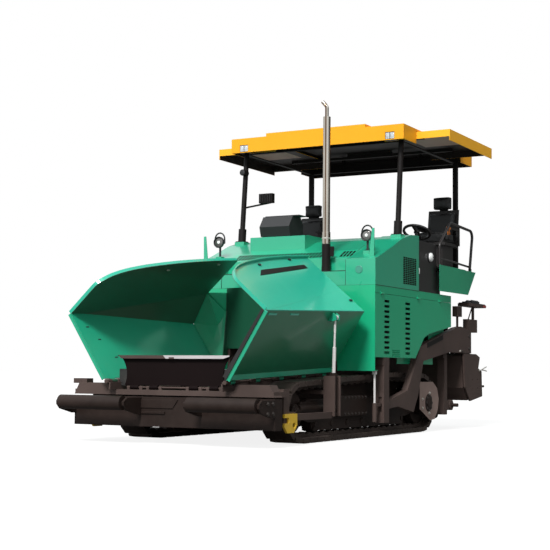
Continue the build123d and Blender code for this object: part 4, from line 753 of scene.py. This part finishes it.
def lowSpot(along, up, out, settings=wingSettings):
    # a place on the left wing's lower plate: metres along the hinge, up from it, out of the outer side
    steep = math.atan2(settings["foldUp"], settings["foldOut"])
    y = up * math.cos(steep) + out * math.sin(steep)
    z = up * math.sin(steep) - out * math.cos(steep)
    return slopeSpot(along, y, z, settings)


# plates: corners as (along the hinge, up from the fold)
plateSettings = {"corners": ((0.653, 0.555), (2.026, 0.752), (2.023, 0.818), (0.799, 0.656)),
                 "lift": 0.0002, "depth": 0.003, "rounding": 0.001}


def wingPlates(settings):
    lift = wingSpot(0, 0, settings["depth"]) - wingSpot(0, 0, 0)
    for side, sign in (("left", 1), ("right", -1)):
        shape = bmesh.new()
        addSheet(shape, [wingSpot(along, up, settings["lift"]) for along, up in settings["corners"]], lift)
        bmesh.ops.bevel(shape, geom=shape.edges[:], offset=settings["rounding"], segments=1, affect="EDGES")
        put("wingPlate_" + side, shape, "wing_" + side, "plateBlank", "plastic", sign)


wingPlates(plateSettings)

# caps, bolts and trim
# caps of the wheels and bright bolts with their washers, each as (distance, radius) pairs
rollerCap = ((0, 0.06), (0.006, 0.058), (0.01, 0.035), (0.022, 0.032), (0.024, 0.02), (0.024, 0))
idlerCap = ((0, 0.086), (0.01, 0.08), (0.012, 0.055), (0.03, 0.05), (0.034, 0.036), (0.034, 0))
driveCap = ((0, 0.115), (0.008, 0.11), (0.01, 0.075), (0.02, 0.07), (0.024, 0.05), (0.024, 0))
boltHead = ((0, 0.02), (0.004, 0.02), (0.004, 0.013), (0.014, 0.013), (0.016, 0.009), (0.016, 0))
smallHead = ((0, 0.017), (0.003, 0.017), (0.003, 0.012), (0.012, 0.011), (0.014, 0.007), (0.014, 0))
rollerPlaces = {"first": -0.82, "pitch": 2.38 / 6, "count": 7, "face": 0.98, "height": 0.1905}


def rollerSpots(settings):
    return [(settings["first"] + i * settings["pitch"], settings["face"], settings["height"])
            for i in range(settings["count"])]


build({
    "cabinetCaps": {
        "on": ("tractor", "whiteEnamel", "plastic"), "sides": "both",
        "turned": [((-1.155, 1.246, 2.25), outward,
                    ((0, 0.058), (0.012, 0.058), (0.028, 0.05336), (0.040, 0.03596), (0.0455, 0.0174),
                     (0.047, 0)), 28)],
        "middleBoxes": [((-0.812, 1.2365, 2.01), (-0.79, 1.2505, 2.085), 0.004)]},
    "cabinetRings": {
        "on": ("tractor", "blackPlastic", "plastic"), "sides": "both",
        "rings": [((-1.155, 1.25, 2.25), outward, 0.066, 0.008, 30)],
        "turned": [((-1.155, 1.292, 2.25), outward, ((0, 0.01), (0.003, 0.009), (0.0035, 0)), 12)]},
    "exhaustBands": {
        "on": ("tractor", "zincSteel", "chrome"),
        "turned": [((0.45, 0.555, 2.364), upward,
                    ((0, 0.0515), (0.001, 0.053), (0.015, 0.053), (0.016, 0.0515)), 32)]},
    "wheelCaps": {
        "on": ("tractor", "frameBlack", "chassis"), "sides": "both",
        "turned": [*[(spot, outward, rollerCap, 18) for spot in rollerSpots(rollerPlaces)],
                   ((2.07, 1.015, 0.33), outward, idlerCap, 28),
                   ((-1.365, 1.143, 0.375), outward, driveCap, 36)]},
})

boltPlaces = {
    "hub": (-1.365, 1.152, 0.375), "hubRadius": 0.092, "hubCount": 8,
    "coverFace": 1.055, "coverRows": (0.286, 0.472),
    "coverColumns": (0.375, 0.47, 0.565, 0.66, 0.755, 0.85, 0.945, 1.085),
    "beam": ((2.985, 1.25, 0.345), (2.985, 1.25, 0.445), (3.09, 1.25, 0.345), (3.09, 1.25, 0.445)),
    "arm": ((-2.36, 1.235, 1.06), (-2.62, 1.235, 1.1), (-2.62, 1.235, 1.27)),
}


def frameBolts(settings):
    x, y, z = settings["hub"]
    wide, count = settings["hubRadius"], settings["hubCount"]
    turns = [2 * math.pi * k / count for k in range(count)]
    hub = [(x + wide * math.cos(turn), y, z + wide * math.sin(turn)) for turn in turns]
    face, rows = settings["coverFace"], settings["coverRows"]
    return hub + [(x, face, z) for x in settings["coverColumns"] for z in rows]


bolts("frameBolts", "tractor", frameBolts(boltPlaces), 0.9)
bolts("beamBolts", "push_beam", list(boltPlaces["beam"]), 1.2)
bolts("armBolts", "screed", list(boltPlaces["arm"]), 1.1)

# bright bolts on the drive guards, armrests and side levers of the seats, and the console's switch row
knob = ((0, 0.009), (0.07, 0.007), (0.075, 0.018), (0.09, 0.023), (0.105, 0.02), (0.115, 0.01), (0.117, 0))
build({
    "brightBolts": {
        "on": ("tractor", "zincSteel", "steel"), "sides": "both",
        "turned": [((x, 1.143, z), outward, boltHead, 12)
                   for x, z in ((-1.399, 0.5), (-1.381, 0.241), (-1.16, 0.426), (-1.16, 0.311))]},
    "armPads": {
        "on": ("seat_station", "seatVinyl", "seat"), "sides": "each",
        "boxes": [((-2.215, 0.731, 2.73), (-1.86, 0.791, 2.765), 0.012),
                  ((-2.215, 1.209, 2.73), (-1.86, 1.269, 2.765), 0.012),
                  ((-1.94, 1.2, 2.54), (-1.8, 1.27, 2.61), 0.015)]},
    "seatKnobs": {
        "on": ("seat_station", "orangeEnamel", "plastic"), "sides": "each",
        "turned": [((x, 1.235, 2.61), (0.15, 0, 1), knob, 14) for x in (-1.83, -1.89)]},
    "consoleTrim": {
        "on": ("tractor", "blackPlastic", "plastic"),
        "boxes": [((-0.25, -0.58, 2.739), (-0.05, -0.08, 2.752), 0.006),
                  *[((-0.235, y, 2.751), (-0.205, y + 0.025, 2.76), 0.003)
                    for y in (-0.53, -0.485, -0.44, -0.395, -0.35)]]},
})

# small fittings of the hopper wings
# bead along the fold, tabs below it, clips with studs, bright clips, and marks and a flap near the front; the
# bead and the tabs are drawn in a paler copy of the wing's green as a painted highlight, and the bead stands
# for the bright line along the fold
# bead: (from, to, up, out); flap: (up, out) corners, on the left wing alone
# plates: (panel it is counted from, shade, (along, up) places, out of it, (long, high, deep), rounding)
fittingSettings = {
    "bead": (0.012, 2.318, -0.002, 0.001), "beadRadius": 0.005, "beadTip": (0.003, 0.6),
    "plates": (
        (lowSpot, "green", ((0.194, 0.8225),), 0.0135, (0.164, 0.021, 0.007), 0.0025),
        (lowSpot, "green", ((0.661, 0.8225),), 0.0135, (0.176, 0.021, 0.007), 0.0025),
        (wingSpot, "black", ((2.254, 0.178), (0.875, 0.742), (1.754, 0.886)), 0.009,
         (0.05, 0.022, 0.018), 0.004),
        (wingSpot, "bright", ((2.288, 0.174), (0.909, 0.738), (1.788, 0.882)), 0.007,
         (0.014, 0.012, 0.012), 0.003),
        (wingSpot, "bright", ((1.055, 0.745), (1.972, 0.89)), -0.016, (0.05, 0.02, 0.01), 0.003),
        (lowSpot, "black", ((0.164, 0.686), (0.265, 0.523), (0.397, 0.288)), -0.001,
         (0.05, 0.014, 0.003), 0.001),
    ),
    "flap": ((0.045, 0), (0.045, -0.050), (0.86, -0.030), (0.86, 0)), "flapAhead": 0.0005, "flapThick": 0.008,
}


def addPlate(shape, spot, centre, size, rounding):
    # a box square to the wing's plate at the place that spot gives
    start = spot(*centre)
    axes = []
    for i in range(3):
        beside = [centre[k] + (0.1 if k == i else 0) for k in range(3)]
        axes.append((spot(*beside) - start).normalized())
    lump = bmesh.new()
    addBox(lump, [-half / 2 for half in size], [half / 2 for half in size], rounding)
    bmesh.ops.transform(lump, matrix=Matrix(axes).transposed().to_4x4(), verts=lump.verts)
    bmesh.ops.translate(lump, vec=start, verts=lump.verts)
    merge(shape, lump)


def wingFittings(settings):
    first, last, up, out = settings["bead"]
    start, end = wingSpot(first, up, out), wingSpot(last, up, out)
    wide, reach = settings["beadRadius"], (end - start).length
    tip, share = settings["beadTip"]
    profile = [(0, wide * share), (tip, wide), (reach - tip, wide), (reach, wide * share)]
    flap = [lowSpot(-settings["flapAhead"], up, out) for up, out in settings["flap"]]
    for side, sign in (("left", 1), ("right", -1)):
        shapes = {"green": bmesh.new(), "black": bmesh.new(), "bright": bmesh.new()}
        addLathe(shapes["green"], start, end - start, profile, 10)
        for spot, shade, places, out, size, rounding in settings["plates"]:
            for along, up in places:
                addPlate(shapes[shade], spot, (along, up, out), size, rounding)
        if side == "left":
            addSheet(shapes["black"], flap, lowSpot(-settings["flapThick"], 0, 0) - lowSpot(0, 0, 0))
        body = "wing_" + side
        put("wingFoldHighlight_" + side, shapes["green"], body, "foldHighlightGreen", "paint", sign)
        put("wingClips_" + side, shapes["black"], body, "blackRubber", "plastic", sign)
        put("wingStuds_" + side, shapes["bright"], body, "zincSteel", "steel", sign)


wingFittings(fittingSettings)

# the apron's lip, and the ledge and seams in front of the hood
# the lip's left part is pale metal, a painted highlight along the apron's top edge, and its right part is
# dark brown steel; rubber ends stand beside the apron's foot
lipSettings = {"x": 2.9133, "thick": 0.004}


def lipSheet(*corners, settings=lipSettings):
    return [(settings["x"], y, z) for y, z in corners], (settings["thick"], 0, 0)


build({
    "apronLipHighlight": {
        "on": ("front_apron", "lipHighlightSteel", "steel"),
        "sheets": [lipSheet((-0.085, 0.89), (0.622, 0.89), (0.697, 0.9125), (0.697, 0.9245),
                            (-0.12, 0.9245))]},
    "apronLipDark": {
        "on": ("front_apron", "brownSteel", "chassis"),
        "sheets": [lipSheet((-0.697, 0.9245), (-0.657, 0.89), (-0.091, 0.89), (-0.126, 0.9245))],
        "boxes": [((2.9123, -0.045, 0.887), (2.9193, 0.02, 0.905), 0.001)]},
    "apronEnds": {
        "on": ("front_apron", "blackRubber", "plastic"), "sides": "both",
        "boxes": [((2.855, 0.60, 0.60), (2.862, 0.715, 0.78), 0.002)]},
    "hoodLedge": {
        "on": ("tractor", "hoodPaint", "paint"),
        "boxes": [((0.3856, -0.859, 1.7906), (0.5442, 0.859, 1.965), 0.006)]},
    "hoodSeams": {
        "on": ("tractor", "blackRubber", "plastic"), "sides": "both",
        "boxes": [((0.5422, 0.8605, 1.7906), (0.5458, 0.8645, 2.10)),
                  ((-0.779, 1.2495, 1.7866), (0.5454, 1.2513, 1.793))],
        "middleBoxes": [((0.5422, -0.859, 1.961), (0.5454, 0.859, 1.969)),
                        ((0.5422, -1.2492, 1.7866), (0.546, 1.2492, 1.793))]},
    "exhaustFoot": {
        "on": ("tractor", "darkPaint", "chassis"),
        "turned": [((0.45, 0.555, 1.965), upward,
                    ((0, 0.068), (0.008, 0.068), (0.012, 0.056), (0.076, 0.054)), 32)]},
})

# painted shade: black sheets laid over the slots in the hood's sloping band and sides, standing in for the
# shade inside them
# fields: (slots in a row, middle of the row); they stand in the rows up and down the band
shadeSheetSettings = {
    "middle": (0.285, 2.190), "normal": (0.482, 0, 0.876), "fields": ((29, -0.155), (4, 0.765)),
    "pitch": 0.044, "rows": (-0.042, 0.042), "wide": 0.027, "long": 0.074, "lift": 0.0004, "thick": 0.0012,
}
grilleSettings = {"front": -0.276, "rear": -0.694, "low": 1.85, "top": 2.19, "face": 1.25,
                  "columns": 6, "rows": 15, "long": 0.057, "high": 0.0165, "lift": 0.0004, "thick": 0.0012}
fourCorners = ((-1, -1), (1, -1), (1, 1), (-1, 1))


def bandShadeSheets(shape, settings):
    out = Vector(settings["normal"]).normalized()
    up = Vector((-out.z, 0, out.x))
    wide, long = settings["wide"] / 2, settings["long"] / 2
    x, z = settings["middle"]
    for count, middle in settings["fields"]:
        start = Vector((x, middle, z)) + out * settings["lift"]
        for column in range(count):
            y = (column - (count - 1) / 2) * settings["pitch"]
            for row in settings["rows"]:
                steps = [Vector((0, y + a * wide, 0)) + up * (row + b * long) for a, b in fourCorners]
                addSheet(shape, [start + step for step in steps], out * settings["thick"])


def sideShadeSheets(shape, settings):
    across = (settings["front"] - settings["rear"]) / settings["columns"]
    down = (settings["top"] - settings["low"]) / settings["rows"]
    long, high = settings["long"] / 2, settings["high"] / 2
    for side in (1, -1):
        y = side * (settings["face"] + settings["lift"])
        for column in range(settings["columns"]):
            x = settings["rear"] + (column + 0.5) * across
            for row in range(settings["rows"]):
                z = settings["low"] + (row + 0.5) * down
                corners = [(x + a * long, y, z + b * high) for a, b in fourCorners]
                addSheet(shape, corners, (0, side * settings["thick"], 0))


shadeSheets = bmesh.new()
bandShadeSheets(shadeSheets, shadeSheetSettings)
sideShadeSheets(shadeSheets, grilleSettings)
put("ventShadeSheets", shadeSheets, "tractor", "apronPaint", "plastic")

# thin facets that close the corner between each wing's rear edge and the body
# onWing: (out from the hinge, up); onBody: (ahead, out, up); "top" stands over the inner corner, at the crest
facetSettings = {
    "along": 2.3325, "thick": 0.002,
    "onWing": {"crest": (0.185, 0.988), "fold": (0.393, 0.591),
               "low": (0.157, 0.232), "foot": (0.006, 0.040)},
    "onBody": {"outer": (0.690, 0.812, 1.329), "under": (0.702, 0.730, 0.964),
               "inner": (0.621, 0.730, 1.500)},
    "faces": (("foot", "low", "under"), ("low", "outer", "under"), ("low", "fold", "outer"),
              ("fold", "crest", "outer"), ("outer", "crest", "inner"), ("outer", "inner", "under"),
              ("crest", "top", "inner")),
}


def cornerFacets(settings):
    spots = {name: slopeSpot(settings["along"], *spot) for name, spot in settings["onWing"].items()}
    spots.update({name: Vector(spot) for name, spot in settings["onBody"].items()})
    spots["top"] = Vector((*spots["inner"][:2], spots["crest"].z))
    shape = bmesh.new()
    for names in settings["faces"]:
        a, b, c = (spots[name] for name in names)
        behind = (b - a).cross(c - a).normalized()
        if behind.x > 0:
            behind = -behind
        addSheet(shape, [a, b, c], behind * settings["thick"])
    mirrored(shape)
    put("cornerFacets", shape, "tractor", "greenPaint", "paint")


cornerFacets(facetSettings)

# dark plates behind the drive wheels' lower front
build({
    "driveBackplates": {
        "on": ("tractor", "frameBlack", "chassis"), "sides": "both",
        "boxes": [((-1.40, 0.846, 0.08), (-1.05, 0.850, 0.26), 0.001)]},
})

# hoops over the headlamps
hoopSettings = {"place": (0.31, 1.036, 2.4), "half": 0.072, "top": 0.122, "shoulder": 0.04,
                "foot": 0.015, "steps": 10, "radius": 0.0095}


def lampHoops(settings):
    x, y, z = settings["place"]
    half, shoulder, foot = settings["half"], settings["shoulder"], z - settings["foot"]
    rise = settings["top"] - shoulder
    arch = [(x, half, foot)]
    for step in range(settings["steps"] + 1):
        angle = math.pi * step / settings["steps"]
        arch.append((x, half * math.cos(angle), z + shoulder + rise * math.sin(angle)))
    arch.append((x, -half, foot))
    lines = [[(a, b + side * y, h) for a, b, h in arch] for side in (1, -1)]
    place("lampHoops", pipeMesh("lampHoops", lines, settings["radius"]), "tractor", "blackPlastic")


lampHoops(hoopSettings)

# remote consoles behind, the blank plates on the arms and the small bright bolts
# remoteTrim: lids, rows of knobs, and the rims of the upright case in front
knobPlaces = {"first": -2.99, "pitch": 0.05, "count": 6, "rows": (1.163, 1.227), "height": 1.77}
armSlope = Matrix.Rotation(math.radians(12.5), 3, "Y")


def knobSpots(settings):
    along = [settings["first"] + step * settings["pitch"] for step in range(settings["count"])]
    return [(x, y, settings["height"]) for x in along for y in settings["rows"]]


build({
    "remoteTrim": {
        "on": ("screed", "blackPlastic", "plastic"), "sides": "both",
        "boxes": [((-3.19, 1.118, 1.727), (-2.53, 1.272, 1.740), 0.005),
                  ((-3.02, 1.138, 1.738), (-2.72, 1.252, 1.773), 0.014),
                  ((-2.68, 1.148, 1.738), (-2.58, 1.242, 1.756), 0.006)],
        "turned": [(spot, upward, ((0, 0.011), (0.01, 0.010), (0.014, 0.006), (0.0145, 0)), 12)
                   for spot in knobSpots(knobPlaces)],
        "rings": [((-2.275, y, 1.6), outward, 0.048, 0.005, 24, 6) for y in (1.16, 1.23)]},
    "remoteEnds": {
        "on": ("screed", "redEnamel", "plastic"), "sides": "both",
        "boxes": [((-3.2035, 1.175, 1.695), (-3.085, 1.2835, 1.722), 0.003)]},
    "armPlates": {
        "on": ("screed", "plateBlank", "plastic"), "sides": "both",
        "boxes": [((-1.65, 1.2348, 1.141), (-1.09, 1.2376, 1.203), 0.001, armSlope)]},
    "tractorBrights": {
        "on": ("tractor", "zincSteel", "steel"), "sides": "both",
        "turned": [((x, 0.72, z), outward, smallHead, 12)
                   for x, z in ((-1.295, 0.552), (-1.464, 0.55), (-1.595, 0.546))]},
    "screedBrights": {
        "on": ("screed", "zincSteel", "steel"), "sides": "both",
        "turned": [((-2.273, 1.235, 1.061), outward, smallHead, 12)]},
})

# levers on the screed's extensions
leverSettings = {
    "radius": 0.008,
    "prongs": (((-2.99, 1.252, 0.795), (-3.08, 1.255, 0.81), (-3.16, 1.256, 0.83), (-3.27, 1.256, 0.852)),
               ((-3.06, 1.254, 0.806), (-3.16, 1.256, 0.808), (-3.28, 1.256, 0.792))),
}
for side, sign in (("left", 1), ("right", -1)):
    lines = [[(x, sign * y, z) for x, y, z in prong] for prong in leverSettings["prongs"]]
    levers = pipeMesh("screedLevers_" + side, lines, leverSettings["radius"])
    place("screedLevers_" + side, levers, "screed_extension_" + side, "zincSteel")
print("small parts ready")
